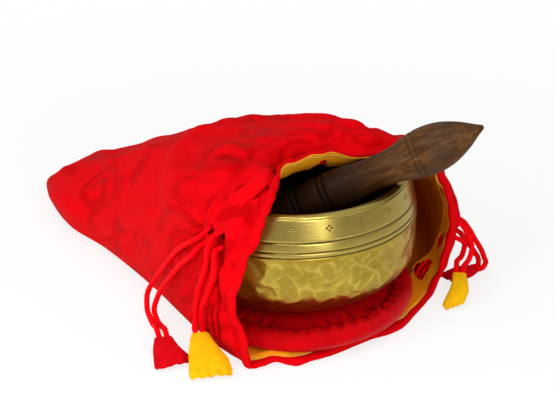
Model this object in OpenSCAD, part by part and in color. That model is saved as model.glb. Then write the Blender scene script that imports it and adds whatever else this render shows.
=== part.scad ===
// Hand-hammered singing bowl with its mallet, on a round cushion in a lined drawstring pouch.
// Millimetres, +Z up. The origin is on the floor below the middle of the bowl, +Y points away
// from the front of the set, and the mouth of the pouch faces the front right.

/* [Bowl] */
// Outer diameter at the rim
rim_d = 122; // [104:1:128]
// Largest outer diameter, at the belly
belly_d = 131.6; // [126:0.2:142]
// Height from the base to the rim
bowl_h = 63; // [58:1:72]
// Height of the lower edge of the belly above the base
belly_h = 23.4; // [20:0.2:26]
// Depth that the lower body would have without its flat base
bowl_round = 29.8; // [28:0.2:36]
// Wall thickness of the body
bowl_wall = 3; // [2:0.1:4]
// Thickness of the lip at the rim
lip_t = 4.5; // [3:0.1:6]
// Width of a turned groove
groove_w = 1.2; // [0.8:0.1:1.8]
// Depth of a turned groove
groove_depth = 0.5; // [0.3:0.1:0.9]
// Distance of the first groove below the rim
groove_drop = 13; // [10:0.5:15]
// Step from the first groove to the second
groove_step = 5; // [4:0.1:6]
// Step from the second groove to the third
groove_close = 2.8; // [2:0.1:3.4]

/* [Mallet] */
// Length from tip to inner end
mallet_len = 169; // [156:1:186]
// Largest diameter of the striking head
head_d = 25.6; // [22:0.2:28]
// Distance of the head's widest place from the tip
head_at = 30; // [27:0.5:32]
// Diameter of the neck that lies on the rim
neck_d = 19.4; // [16:0.2:21]
// Diameter of the waist below the neck
waist_d = 17.8; // [15:0.2:19]
// Diameter of the swelling below the waist
swell_d = 21.6; // [20:0.2:24]
// Diameter of the inner end
end_d = 17; // [12:0.5:19]
// Depth of the turned rings and engraved lines
ring_depth = 0.8; // [0.4:0.1:1.2]
// Distance of the mallet's axis in front of the bowl's middle
mallet_front = 19.5; // [12:0.5:22]

/* [Cushion] */
// Outer diameter of the cushion
cushion_d = 128; // [110:1:128]
// Thickness where the bowl stands
cushion_h = 8.1; // [6:0.1:12]
// Thickness of the satin cover
cover_t = 0.8; // [0.5:0.1:1.2]

/* [Pouch] */
// Thickness of the brocade
cloth_t = 0.8; // [0.6:0.1:1]
// Thickness of the lining
lining_t = 0.6; // [0.4:0.1:0.8]
// Room between the outer face of the pouch and the bowl
drape_gap = 3; // [2.6:0.1:5]
// Height of the crown of the mouth above the rim
mouth_rise = 15; // [12:0.5:22]
// Height of the floor edge where the side of the pouch turns up
turn_h = 5; // [4:0.5:7]

/* [Drawstrings] */
// Diameter of a drawstring
cord_d = 2.4; // [1.8:0.1:2.6]
// Thickness of an end tab
tab_t = 4.4; // [3.2:0.1:5]
// Width of an end tab where the cords go in
tab_neck_w = 9; // [8:0.5:11]
// Radius of the lower corners of an end tab
tab_corner = 3; // [1:0.5:4]

/* [Hidden] */

$fn = 96;
tiny = 0.000001;

brocade_red = [0.86, 0.05, 0.10];
cord_red = [0.80, 0.04, 0.09];
satin_red = [0.70, 0.03, 0.08];
lining_yellow = [0.95, 0.62, 0.08];
brass = [0.72, 0.60, 0.30];
dark_wood = [0.27, 0.17, 0.10];
filling_white = [0.93, 0.92, 0.88];

// Clearances
layer_gap = 0.2;
cord_gap = 0.3;
seat_gap = 0.3;
cushion_gap = 0.2;

// Floor to rim
casing_h = cord_d + 2 * cord_gap - layer_gap;
floor_stack = cloth_t + layer_gap + lining_t;
cushion_z = floor_stack + casing_h + cushion_gap;
base_z = cushion_z + cushion_h + seat_gap;
belly_z = base_z + belly_h;
rim_z = base_z + bowl_h;
rim_r = rim_d / 2;
belly_r = belly_d / 2;
belly_low_r = belly_r - 0.3;

// Curves through a few stations

function slope_at(x, y, i) =
    let (last = len(x) - 1)
    i == 0 ? (y[1] - y[0]) / (x[1] - x[0])
    : i == last ? (y[last] - y[last - 1]) / (x[last] - x[last - 1])
    : let (before = x[i] - x[i - 1], after = x[i + 1] - x[i])
      ((y[i] - y[i - 1]) / before * after + (y[i + 1] - y[i]) / after * before) / (before + after);

function span_of(x, at, i = 0) = i >= len(x) - 2 || at < x[i + 1] ? i : span_of(x, at, i + 1);

function curve_at(x, y, at) =
    let (i = span_of(x, at), h = x[i + 1] - x[i], w = (at - x[i]) / h)
    y[i] * (1 + 2 * w) * pow(1 - w, 2) + slope_at(x, y, i) * h * w * pow(1 - w, 2)
    + y[i + 1] * w * w * (3 - 2 * w) + slope_at(x, y, i + 1) * h * w * w * (w - 1);

function limit(v, low, high) = min(max(v, low), high);
function unit(v) = v / max(norm(v), tiny);
function mix(a, b, f) = a + (b - a) * f;
function column(rows, c) = [for (row = rows) row[c]];
function power(v, p) = v < tiny ? 0 : pow(v, p);

// Bowl

upper_heights = [belly_z, mix(belly_z, rim_z, 0.3), rim_z - 1.4 * groove_drop,
    rim_z - groove_drop, rim_z];
upper_radii = [belly_low_r, belly_r, belly_r, mix(rim_r, belly_r, 0.75), rim_r];

function round_r(r, depth, z) = r * sqrt(max(0, 1 - pow((belly_z - z) / depth, 2)));
function bowl_r(z) = z < belly_z ? round_r(belly_low_r, bowl_round, z)
    : curve_at(upper_heights, upper_radii, min(z, rim_z));

lip_round = 1.2;
lip_reach = 12;
groove_drops = [groove_drop, groove_drop + groove_step, groove_drop + groove_step + groove_close];
lower_steps = 14;
upper_steps = 9;
inner_floor_z = base_z + bowl_wall;
base_angle = acos(belly_h / bowl_round);
floor_angle = acos((belly_z - inner_floor_z) / (bowl_round - bowl_wall));
lowest_groove_z = rim_z - groove_drops[2];

function groove_notch(z) = [
    [bowl_r(z - groove_w / 2), z - groove_w / 2],
    [bowl_r(z) - groove_depth, z],
    [bowl_r(z + groove_w / 2), z + groove_w / 2]];

function wall_at(z) = mix(bowl_wall, lip_t, limit((z - rim_z + lip_reach) / lip_reach, 0, 1));

function bowl_lower(r, depth, start) = [for (i = [0:lower_steps])
    let (a = mix(start, 90, i / lower_steps)) [r * sin(a), belly_z - depth * cos(a)]];

bowl_belly = [for (i = [1:upper_steps])
    let (z = mix(belly_z, lowest_groove_z - groove_w, i / upper_steps)) [bowl_r(z), z]];
bowl_grooves = [for (g = [2:-1:0]) for (p = groove_notch(rim_z - groove_drops[g])) p];
bowl_band = [for (i = [1:upper_steps])
    let (z = mix(rim_z - groove_drop + groove_w, rim_z - lip_round, i / upper_steps)) [bowl_r(z), z]];
bowl_lip = [for (a = [30, 60, 90])
        [rim_r - lip_round * (1 - cos(a)), rim_z - lip_round * (1 - sin(a))],
    for (a = [90, 60, 30])
        [rim_r - lip_t + lip_round * (1 - cos(a)), rim_z - lip_round * (1 - sin(a))]];
bowl_inside = [for (i = [0:2 * upper_steps])
    let (z = mix(rim_z - lip_round, belly_z, i / (2 * upper_steps))) [bowl_r(z) - wall_at(z), z]];
bowl_hollow = bowl_lower(belly_low_r - bowl_wall, bowl_round - bowl_wall, floor_angle);

module bowl() {
    color(brass)
        rotate_extrude()
            polygon(concat([[0, base_z]], bowl_lower(belly_low_r, bowl_round, base_angle), bowl_belly,
                bowl_grooves, bowl_band, bowl_lip, bowl_inside,
                [for (i = [lower_steps - 1:-1:0]) bowl_hollow[i]], [[0, inner_floor_z]]));
}

// Mallet: it lies on the rim with its neck and reaches down to the far inner wall

end_above_base = 22.1;
end_from_wall = 4.6;
rest_r = rim_r - lip_t + lip_round;
rim_x = sqrt(pow(rest_r, 2) - pow(mallet_front, 2));
far_x = sqrt(pow(belly_r - bowl_wall, 2) - pow(mallet_front, 2)) - end_from_wall;
rest_lift = neck_d / 2 + seat_gap + 0.12 * lip_round;
rest_run = rim_x + far_x;
mallet_tilt = asin((bowl_h - end_above_base) / norm([rest_run, bowl_h - end_above_base]))
    + asin(rest_lift / norm([rest_run, bowl_h - end_above_base]));
neck_from_end = rest_run / cos(mallet_tilt);

// Distances from the neck along the mallet
waist_back = 10;
swell_back = 36;
grip_back = 58;
grip_lines = [-grip_back, 3 - grip_back, 16 - grip_back, 19 - grip_back];
head_lines = [9.5, 12.5];
end_steps = [5, 15];

// The leaf shape of the head, from behind its widest place to the tip: shares of head_at and of its radius
head_shape = [[1.33, 0.93], [1, 1], [0.68, 0.89], [0.48, 0.715], [0.3, 0.5], [0.143, 0.265], [0, 0.07]];
mallet_places = concat([0, end_steps[0], end_steps[1], neck_from_end - grip_back,
    neck_from_end - swell_back, neck_from_end - waist_back, neck_from_end],
    [for (h = head_shape) mallet_len - h[0] * head_at]);
mallet_radii = concat([end_d / 2 - 2.5, end_d / 2 - 0.6, end_d / 2 + 0.2, end_d / 2 + 1, swell_d / 2,
    waist_d / 2, neck_d / 2], [for (h = head_shape) h[1] * head_d / 2]);
mallet_lines = [for (d = concat(grip_lines, head_lines)) neck_from_end + d];
mallet_step = 3;
line_w = 0.9;

function mallet_r(s) = curve_at(mallet_places, mallet_radii, s);
function line_depth(s) = max([for (m = mallet_lines) ring_depth * max(0, 1 - abs(s - m) / line_w)]);
mallet_cuts = [for (m = mallet_lines) for (d = [-line_w, 0, line_w]) m + d];

function clear_of_cuts(s) = min([for (m = mallet_lines) abs(s - m)]) > line_w + 0.4;
function sorted(v) = len(v) < 2 ? v
    : let (p = v[floor(len(v) / 2)])
      concat(sorted([for (e = v) if (e < p) e]), [p], sorted([for (e = v) if (e > p) e]));
mallet_stops = sorted(concat([for (s = [0:mallet_step:mallet_len - 1]) if (clear_of_cuts(s)) s],
    mallet_cuts, [mallet_len]));

module mallet() {
    color(dark_wood)
        translate([-far_x, -mallet_front, base_z + end_above_base])
            rotate([0, 90 - mallet_tilt, 0])
                rotate_extrude()
                    polygon(concat([[0, 0]], [for (s = mallet_stops) [mallet_r(s) - line_depth(s), s]],
                        [[0, mallet_len]]));
}

// Cushion: a flat seat inside a soft roll, sewn down in a valley between them

cushion_at = [3, -2.5];
cushion_r = cushion_d / 2;
roll_half = cushion_h / 2;
valley_drop = 1.2;

function cushion_outline(inset) =
    let (top = cushion_h - inset, edge = cushion_r - inset)
    concat([[0, inset], [cushion_r - 1.7 * roll_half, inset]],
        [for (a = [-60:15:60])
            [edge - 1.3 * roll_half * (1 - cos(a)), roll_half + (roll_half - inset) * sin(a) / sin(60)]],
        [[cushion_r - 3 * roll_half, top - 0.5 * valley_drop],
            [cushion_r - 3.9 * roll_half, top - valley_drop],
            [cushion_r - 4.8 * roll_half, top - 0.4 * valley_drop],
            [cushion_r - 5.6 * roll_half, top], [0, top]]);

module cushion_solid(inset) {
    translate([cushion_at[0], cushion_at[1], cushion_z])
        rotate_extrude()
            polygon(cushion_outline(inset));
}

module cushion_cover() {
    color(satin_red)
        difference() {
            cushion_solid(0);
            cushion_solid(cover_t);
        }
}

module cushion_filling() {
    color(filling_white)
        cushion_solid(cover_t);
}

// Pouch: stations from the mouth to the closed end. Each has the place along the pouch, the floor
// corners on the left and right, the crown's height, how much higher the left side is, how far the
// floor edge bows out and the crown leans back, the swell of each side and how square each side is.

pattern_r = 65.8;
grade = max(belly_r, cushion_r + 1.3) / pattern_r;
stations = [
    [0.00, -24, -81, 71, 1, rim_z + mouth_rise, 0.02, 18, -25, 1, 14, 4.8, 6.0],
    [0.16, -46, -49, 78, 28, rim_z + mouth_rise - 1, 0.03, 12, -24, 6, 5, 5.0, 3.8],
    [0.36, -76, 8, 79, 64, rim_z + mouth_rise - 9, 0.05, 0, -10, 7, 1, 4.0, 2.4],
    [0.56, -104, 54, 72, 104, 66, 0.05, -2, -2, 6, 2, 2.8, 2.2],
    [0.76, -128, 86, 60, 140, 47, 0.05, -2, 0, 4, 2, 2.5, 2.3],
    [0.92, -141, 122, 50, 166, 30, 0.04, -1, 0, 2, 2, 2.3, 2.3],
    [1.00, -145, 143, 46, 180, 9, 0.00, 0, 0, 0, 0, 2.2, 2.2]];
station_places = column(stations, 0);
function station(t) = [for (c = [1:12]) curve_at(station_places, column(stations, c), t)];

// The bowl is drawn out of the mouth along this line, rising a little, so the cloth keeps clear of it
draw_plan = unit([0.63, -0.776]);
draw_side = [-draw_plan[1], draw_plan[0]];
draw_slope = 0.03;
rim_berth = 2.6;
top_berth = 1.6;

function clear_of_bowl(p) =
    let (along = [p[0], p[1]] * draw_plan, aside = [p[0], p[1]] * draw_side, ahead = along > 0,
        reach = ahead ? abs(aside) : norm([along, aside]),
        lift = ahead ? draw_slope * (along + belly_r) : 0,
        top = rim_z + drape_gap + top_berth + lift, z = p[2],
        need = max(bowl_r(limit(z, base_z, rim_z)), bowl_r(limit(z - lift, base_z, rim_z)))
            + drape_gap + rim_berth * limit((z - rim_z + 18) / 12, 0, 1))
    z >= top || z < base_z - 3 || reach >= need ? p
    : top - z < 0.9 * (need - reach) ? [p[0], p[1], top]
    : ahead ? let (q = draw_plan * along + draw_side * sign(aside) * need) [q[0], q[1], z]
    : [p[0] * need / reach, p[1] * need / reach, z];

section_half = 48;
floor_flat = 1.25;

function section_point(q, i) =
    let (left = [q[0], q[1]] * grade, right = [q[2], q[3]] * grade, width = norm(right - left),
        across = (right - left) / width, out = [across[1], -across[0]],
        angle = 180 * i / section_half, c = cos(angle), s = abs(sin(angle)),
        square = c > 0 ? q[10] : q[11], near = sign(c) * power(abs(c), 2 / square),
        over = i <= section_half, high = power(s, over ? 2 / square : 0.4),
        swell = c > 0 ? -q[8] : q[9],
        w = width / 2 * (1 - near) + (over ? swell * sin(180 * high) * abs(near) : 0),
        z = over ? turn_h + (q[4] * (1 + q[5] * near) - turn_h) * high
            : turn_h * max(0, 1 - floor_flat * high),
        a = over ? q[7] * (c > 0 ? pow(1 - near * near, 2) : 1 - pow(near, 4))
            : q[6] * (1 - near * near),
        plan = left + across * w + out * a, p = [plan[0], plan[1], z])
    over ? clear_of_bowl(p) : p;

function section(t) = let (q = station(t)) [for (i = [0:2 * section_half - 1]) section_point(q, i)];

function lengths(p) = [for (i = 0, total = 0; i <= len(p);
    total = total + norm(p[(i + 1) % len(p)] - p[i % len(p)]), i = i + 1) total];

function point_at(p, run, s) =
    let (total = run[len(p)], m = s < 0 ? s + total : s >= total ? s - total : s,
        i = span_of(run, m), f = (m - run[i]) / max(tiny, run[i + 1] - run[i]))
    mix(p[i % len(p)], p[(i + 1) % len(p)], f);

// The side seams leave the floor corners at the closed end and climb towards the mouth. They climb by
// whole columns, so that the corners stay on columns of the grid.
row_places = [0, 0.02, 0.035, 0.05625, 0.0775, 0.09875, 0.12, 0.135, 0.19, 0.25, 0.31, 0.38, 0.45,
    0.52, 0.59, 0.66, 0.73, 0.81, 0.88, 0.94, 1];
seam_step = 9.3;
seam_left_steps = [7, 7, 7, 7, 7, 7, 7, 7, 6, 5, 4, 3, 2, 1, 0, 0, 0, 0, 0, 0, 0];
seam_right_steps = [4, 4, 4, 4, 4, 4, 4, 4, 3, 3, 2, 2, 1, 1, 0, 0, 0, 0, 0, 0, 0];
half = 24;
around = 2 * half;

function ring(k) =
    let (p = section(row_places[k]), run = lengths(p), total = run[len(p)], corner = run[section_half],
        rights = seam_right_steps[k], lefts = seam_left_steps[k],
        left = seam_step * lefts, right = corner - seam_step * rights)
    [for (j = [0:around - 1]) let (n = j - half) point_at(p, run,
        n <= 0 ? mix(left, right, j / half)
        : n <= rights ? right + seam_step * n
        : n <= half - lefts ? mix(corner, total, (n - rights) / (half - lefts - rights))
        : total + seam_step * (n - half + lefts))];

cord_count = 4;
casing_from = 2;
casing_to = casing_from + cord_count;
end_seam = 6;
end_left = [stations[6][1], stations[6][2]] * grade;
end_right = [stations[6][3], stations[6][4]] * grade;
end_across = unit(end_right - end_left);
end_out = [end_across[1], -end_across[0]];

end_row = [for (j = [0:around - 1])
    let (f = j <= half ? j / half : 2 - j / half, p = mix(end_left, end_right, f) - end_out * end_seam)
    [p[0], p[1], turn_h]];

// At the right floor corner the mouth runs on in line with the side, so the casing turns in there and
// its cords keep side by side
turn_dir = [-0.94, 0.33, 0];
turn_step = 2.1;
turn_rows = [[casing_from, 0], [casing_to, cord_count], [casing_to + 1, cord_count],
    [casing_to + 2, 1.6], [casing_to + 3, 0]];
turn_columns = [[25, 0], [27, 0.5], [28, 1], [29, 1], [30, 0.75], [32, 0.2], [33, 0]];
function turned_in(k, j) = turn_dir * turn_step * lookup(k, turn_rows) * lookup(j, turn_columns);

// The edge of the mouth sags beside the mallet, and on the left shoulder its casing is drawn down
sag_h = 6.2;
sag_columns = [[11.5, 0], [13.2, 1], [14.5, 1], [17.5, 0]];
sag_reach = 0.17;
dip_h = 8;
dip_columns = [[5, 0], [7.5, 1], [11.5, 1], [14, 0]];
dip_reach = 0.115;
function ease(v, low, high) = let (f = limit((v - low) / (high - low), 0, 1)) f * f * (3 - 2 * f);
function drawn_down(k, j) =
    sag_h * lookup(j, sag_columns) * (1 - ease(row_places[k], 0, sag_reach))
    + dip_h * lookup(j, dip_columns) * power(sin(180 * limit(row_places[k] / dip_reach, 0, 1)), 1.3);

laid = concat([for (k = [0:len(row_places) - 1]) let (r = ring(k))
    [for (j = [0:around - 1]) r[j] + turned_in(k, j) - [0, 0, drawn_down(k, j)]]], [end_row]);
last_row = len(laid) - 1;

function normals_of(g) = [for (k = [0:last_row]) [for (j = [0:around - 1])
    k == last_row ? [-end_out[0], -end_out[1], 0]
    : unit(cross(g[k][(j + 1) % around] - g[k][(j + around - 1) % around],
        g[k + 1][j] - g[max(k - 1, 0)][j]))]];
laid_normals = normals_of(laid);

// Broad waves of the slack cloth between the bowl and the closed end, by the way round from the left seam
wave_h = 2.2;
wave_runs = [for (row = laid) lengths(row)];
function wave(k, j) =
    let (t = k == last_row ? 1 : row_places[k], s = wave_runs[k][j])
    wave_h * (0.8 + 0.5 * sin(3.5 * s + 516 * t) + 0.3 * sin(6.5 * s - 745 * t + 115))
    * ease(t, 0.25, 0.45) * ease(t, 1, 0.85) * ease(laid[k][j][2], 3, 16);

grid = [for (k = [0:last_row]) [for (j = [0:around - 1]) laid[k][j] + laid_normals[k][j] * wave(k, j)]];
normals = normals_of(grid);

// The casing of the drawstrings stands out of the brocade, and under the cushion into the lining
casing_low = 6;
casing_full = 14;
function stands_out(p) = limit((p[2] - casing_low) / (casing_full - casing_low), 0, 1);
function casing_rise(k) = k >= casing_from && k <= casing_to ? casing_h : 0;
function brocade_offset(k, j) = casing_rise(k) * stands_out(grid[k][j]);
function lining_offset(k, j) = -cloth_t - layer_gap - casing_rise(k) * (1 - stands_out(grid[k][j]));
function cord_offset(k, j) = casing_h * stands_out(grid[k][j]) - cloth_t - cord_gap - cord_d / 2;
function lifted(k, j, d) = grid[k][j % around] + normals[k][j % around] * d;

// A panel is a sheet of constant thickness over its cells. A cell in a window is left open.
function panel_points(first, outer) = [for (inset = [0, 1]) for (k = [0:last_row])
    for (j = [first:first + half])
        lifted(k, j, outer ? brocade_offset(k, j % around) - inset * cloth_t
            : lining_offset(k, j % around) - inset * lining_t)];

function has_cell(k, j, windows) = k >= 0 && k < last_row && j >= 0 && j < half
    && !(k >= casing_from && k < casing_to && len([for (w = windows) if (w == j) w]) > 0);

function quad(a, b, c, d) = [[a, b, c], [a, c, d]];

// The two triangles of a cell meet along the line that the nearer corner follows
function panel_faces(windows, turned_to) =
    let (wide = half + 1, layer = wide * (last_row + 1))
    [for (k = [0:last_row - 1]) for (j = [0:half - 1]) if (has_cell(k, j, windows))
        let (a = k * wide + j, b = a + 1, d = a + wide, c = d + 1, turned = j < turned_to)
        for (f = concat(turned ? quad(d, c, b, a) : quad(a, d, c, b),
            turned ? quad(b + layer, c + layer, d + layer, a + layer)
                : quad(a + layer, b + layer, c + layer, d + layer),
            has_cell(k - 1, j, windows) ? [] : quad(a, b, b + layer, a + layer),
            has_cell(k + 1, j, windows) ? [] : quad(c, d, d + layer, c + layer),
            has_cell(k, j - 1, windows) ? [] : quad(d, a, a + layer, d + layer),
            has_cell(k, j + 1, windows) ? [] : quad(b, c, c + layer, b + layer))) f];

module panel(first, outer, windows) {
    polyhedron(panel_points(first, outer), panel_faces(windows, first / 2));
}

// Windows of the casing: one opening at each side seam, one bare run on the left shoulder and
// three slits in the lining
shoulder_window = [2, 3, 4];
top_slits = [11, 22];
base_slit = [1];

module pouch_top_panel() {
    color(brocade_red) panel(0, true, concat([0, half - 1], shoulder_window));
}

module pouch_base_panel() {
    color(brocade_red) panel(half, true, [0, half - 1]);
}

module lining_top_panel() {
    color(lining_yellow) panel(0, false, top_slits);
}

module lining_base_panel() {
    color(lining_yellow) panel(half, false, base_slit);
}

// Cords: a round tube through a list of points, square to a given direction at both ends

cord_sides = 8;

function directions(p, first, last) = [for (i = [0:len(p) - 1])
    i == 0 ? unit(first)
    : i == len(p) - 1 ? unit(last)
    : unit(unit(p[i + 1] - p[i]) + unit(p[i] - p[i - 1]))];

function square_to(dir, side) = unit(side - dir * (side * dir));

function sides_along(dirs, side) = [for (i = 0, s = square_to(dirs[0], side); i < len(dirs);
    i = i + 1, s = i < len(dirs) ? square_to(dirs[i], s) : s) s];

module tube(points, first, last, side) {
    dirs = directions(points, first, last);
    ups = sides_along(dirs, side);
    rings = len(points);
    corners = [for (i = [0:rings - 1]) for (n = [0:cord_sides - 1])
        let (a = 360 * n / cord_sides, other = cross(dirs[i], ups[i]))
        points[i] + (ups[i] * cos(a) + other * sin(a)) * cord_d / 2];
    walls = [for (i = [0:rings - 2]) for (n = [0:cord_sides - 1])
        let (m = (n + 1) % cord_sides, a = i * cord_sides + n, b = i * cord_sides + m)
        for (f = quad(a, a + cord_sides, b + cord_sides, b)) f];
    last_ring = (rings - 1) * cord_sides;
    caps = concat([for (n = [1:cord_sides - 2]) [0, n, n + 1]],
        [for (n = [1:cord_sides - 2]) [last_ring, last_ring + n + 1, last_ring + n]]);
    polyhedron(corners, concat(walls, caps));
}

// End tabs: the middle of the face where the cords go in, tilt, turn, length and lower width
tab_left_red_form = [[-66, -60, 8], 15, 13, 22, 17];
tab_left_yellow_form = [[-47, -65, 13], 21.5, 11, 29, 20];
tab_right_red_form = [[100, 30, 2.4], 0, -53, 20, 13];
tab_right_yellow_form = [[90, 3, 13], 27, -8, 24, 14];
entry_aside = 2;
entry_run = 5;

function tab_down(f) = [sin(f[2]) * cos(f[1]), -cos(f[2]) * cos(f[1]), -sin(f[1])];
function tab_across(f) = [cos(f[2]), sin(f[2]), 0];
function tab_entry(f, side) = f[0] + tab_across(f) * entry_aside * side;

module tab(f) {
    translate(f[0])
        rotate([f[1], 0, f[2]])
            linear_extrude(height = tab_t, center = true)
                polygon(concat([[-tab_neck_w / 2, 0], [tab_neck_w / 2, 0]],
                    [for (a = [0:-30:-90]) [f[4] / 2 - tab_corner * (1 - cos(a)),
                        -f[3] + tab_corner * (1 + sin(a))]],
                    [for (a = [-90:-30:-180]) [-f[4] / 2 + tab_corner * (1 + cos(a)),
                        -f[3] + tab_corner * (1 + sin(a))]]));
}

module tab_left_red() { color(cord_red) tab(tab_left_red_form); }
module tab_left_yellow() { color(lining_yellow) tab(tab_left_yellow_form); }
module tab_right_red() { color(cord_red) tab(tab_right_red_form); }
module tab_right_yellow() { color(lining_yellow) tab(tab_right_yellow_form); }

// Free ends: from the opening at a side seam to the last point before the tab
left_red_a = [[-46.2, -62.2, 66], [-51, -57, 61], [-57, -48, 53], [-62, -38, 43], [-67, -29, 32],
    [-72, -21, 21], [-76, -18, 12], [-76, -25, 7], [-73, -37, 5]];
left_red_b = [[-47, -63.2, 61], [-51, -61, 55], [-56, -53, 47], [-61, -45, 37], [-66, -36, 26],
    [-70, -30, 16], [-72, -30, 9], [-70, -38, 6], [-67, -47, 7]];
left_yellow_a = [[-40, -70, 70], [-42, -71, 64], [-43, -70, 55], [-45, -68, 46], [-47, -65, 39],
    [-48, -63, 32], [-49, -61, 25], [-49, -60, 19]];
left_yellow_b = [[-39, -72, 63], [-39, -75, 58], [-39, -75, 51], [-41, -73, 44], [-43, -70, 37],
    [-45, -67, 30], [-46, -63, 24], [-46, -61, 18]];
right_red_a = [[87, 21, 38], [91, 22, 36], [96, 25, 29], [100, 28, 21], [104, 31, 13], [106, 34, 7],
    [107, 35, 4]];
right_red_b = [[86, 22, 30], [90, 24, 28], [94, 28, 22], [98, 32, 15], [101, 36, 9], [103, 37, 5]];
right_yellow_a = [[87, 15, 38], [91, 15, 36], [95, 14, 30], [97, 13, 23], [95, 10, 17]];
right_yellow_b = [[86, 14, 30], [89, 15, 28], [93.5, 19, 22.5], [92, 16, 17], [89, 11, 16]];

function free_route(points, f, side) = concat(points,
    [tab_entry(f, side) - tab_down(f) * entry_run, tab_entry(f, side)]);

module free_end(points, f, side) {
    color(cord_red)
        tube(free_route(points, f, side), points[1] - points[0], tab_down(f), [0.3, 0.2, 1]);
}

module left_red_end_a() { free_end(left_red_a, tab_left_red_form, -1); }
module left_red_end_b() { free_end(left_red_b, tab_left_red_form, 1); }
module left_yellow_end_a() { free_end(left_yellow_a, tab_left_yellow_form, -1); }
module left_yellow_end_b() { free_end(left_yellow_b, tab_left_yellow_form, 1); }
module right_red_end_a() { free_end(right_red_a, tab_right_red_form, 1); }
module right_red_end_b() { free_end(right_red_b, tab_right_red_form, -1); }
module right_yellow_end_a() { free_end(right_yellow_a, tab_right_yellow_form, 1); }
module right_yellow_end_b() { free_end(right_yellow_b, tab_right_yellow_form, -1); }

// Held runs: four cords lie side by side in the casing, once round the mouth from seam to seam
function casing_point(slot, j) =
    let (k = casing_from + slot, n = j % around)
    mix(lifted(k, n, cord_offset(k, n)), lifted(k + 1, n, cord_offset(k + 1, n)), 0.5);

function casing_exit(slot, seam, side) =
    mix(casing_point(slot, seam), casing_point(slot, seam + around + side), 0.55);

module held_run(slot, seam, from, to) {
    color(cord_red)
        tube(concat([from[0], casing_exit(slot, seam, 1)],
                [for (j = [seam + 1:seam + around - 1]) casing_point(slot, j)],
                [casing_exit(slot, seam, -1), to[0]]),
            from[0] - from[1], to[1] - to[0], [draw_plan[0], draw_plan[1], 0]);
}

module drawstring_left_red() { held_run(3, 0, left_red_a, left_red_b); }
module drawstring_left_yellow() { held_run(1, 0, left_yellow_a, left_yellow_b); }
module drawstring_right_red() { held_run(2, half, right_red_b, right_red_a); }
module drawstring_right_yellow() { held_run(0, half, right_yellow_b, right_yellow_a); }

bowl();
mallet();
cushion_cover();
cushion_filling();
pouch_top_panel();
pouch_base_panel();
lining_top_panel();
lining_base_panel();
drawstring_left_red();
drawstring_left_yellow();
drawstring_right_red();
drawstring_right_yellow();
left_red_end_a();
left_red_end_b();
left_yellow_end_a();
left_yellow_end_b();
right_red_end_a();
right_red_end_b();
right_yellow_end_a();
right_yellow_end_b();
tab_left_red();
tab_left_yellow();
tab_right_red();
tab_right_yellow();
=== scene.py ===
"""Singing bowl set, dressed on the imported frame: hammered bowl, turned mallet, satin cushion and a lined
brocade pouch with its drawstrings. Shapes are worked out in millimetres, in the frame of the solids."""

import math
from functools import partialmethod, reduce

import bpy
import numpy as np
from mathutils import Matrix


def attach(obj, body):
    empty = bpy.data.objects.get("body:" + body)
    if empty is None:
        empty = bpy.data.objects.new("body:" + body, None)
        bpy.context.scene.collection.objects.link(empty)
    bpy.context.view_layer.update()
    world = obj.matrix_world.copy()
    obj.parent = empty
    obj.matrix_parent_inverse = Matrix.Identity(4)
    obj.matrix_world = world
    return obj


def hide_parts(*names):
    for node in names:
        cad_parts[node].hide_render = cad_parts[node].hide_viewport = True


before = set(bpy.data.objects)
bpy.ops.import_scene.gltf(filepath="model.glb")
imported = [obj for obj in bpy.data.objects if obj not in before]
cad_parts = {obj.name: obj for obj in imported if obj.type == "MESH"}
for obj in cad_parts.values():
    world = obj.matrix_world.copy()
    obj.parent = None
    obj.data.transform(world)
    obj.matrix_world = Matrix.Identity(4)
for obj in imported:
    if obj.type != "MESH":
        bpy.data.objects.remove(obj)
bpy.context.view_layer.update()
MM = 0.001

# Driving sizes, as in the part's source
BASE_Z, BELLY_Z, RIM_Z = 13.0, 36.4, 76.0
RIM_R, BELLY_R, BELLY_LOW_R = 61.0, 65.8, 65.5
BOWL_ROUND, BOWL_WALL, LIP_T = 29.8, 3.0, 4.5
GROOVE_DROPS = (13.0, 18.0, 20.8)
GROOVE_W, GROOVE_DEPTH = 1.2, 0.5
MALLET_LEN = 169.0
CUSHION_AT, CUSHION_Z = np.array([3.0, -2.5]), 4.6
CLOTH_T, LINING_T, LAYER_GAP = 0.8, 0.6, 0.2
CORD_D, CORD_GAP = 2.4, 0.3
TURN_H = 5.0
WAVE_H = 2.2
CASING_H = CORD_D + 2 * CORD_GAP - LAYER_GAP
CASING_FROM, CASING_TO = 0.035, 0.12
CORD_COUNT = 4


# Small helpers


def smooth(x, low, high):
    f = np.clip((np.asarray(x, float) - low) / (high - low), 0, 1)
    return f * f * (3 - 2 * f)


def unit(v):
    return v / np.maximum(np.linalg.norm(v, axis=-1, keepdims=True), 1e-9)


def curve_through(xs, ys, at):
    """A smooth curve through a few stations, the one that the solids follow."""
    xs, ys, at = np.asarray(xs, float), np.asarray(ys, float), np.asarray(at, float)
    step = np.diff(xs)
    rise = np.diff(ys) / step
    slope = np.empty(len(xs))
    slope[0], slope[-1] = rise[0], rise[-1]
    slope[1:-1] = (rise[:-1] * step[1:] + rise[1:] * step[:-1]) / (step[1:] + step[:-1])
    i = np.clip(np.searchsorted(xs, at, side="right") - 1, 0, len(xs) - 2)
    h = step[i]
    w = (at - xs[i]) / h
    return (
        ys[i] * (1 + 2 * w) * (1 - w) ** 2
        + slope[i] * h * w * (1 - w) ** 2
        + ys[i + 1] * w * w * (3 - 2 * w)
        + slope[i + 1] * h * w * w * (w - 1)
    )


def run_along(points):
    """The length from the first point or row of points to each of the others."""
    step = np.linalg.norm(np.diff(points, axis=0), axis=-1)
    return np.concatenate([np.zeros((1, *step.shape[1:])), np.cumsum(step, axis=0)])


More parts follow.
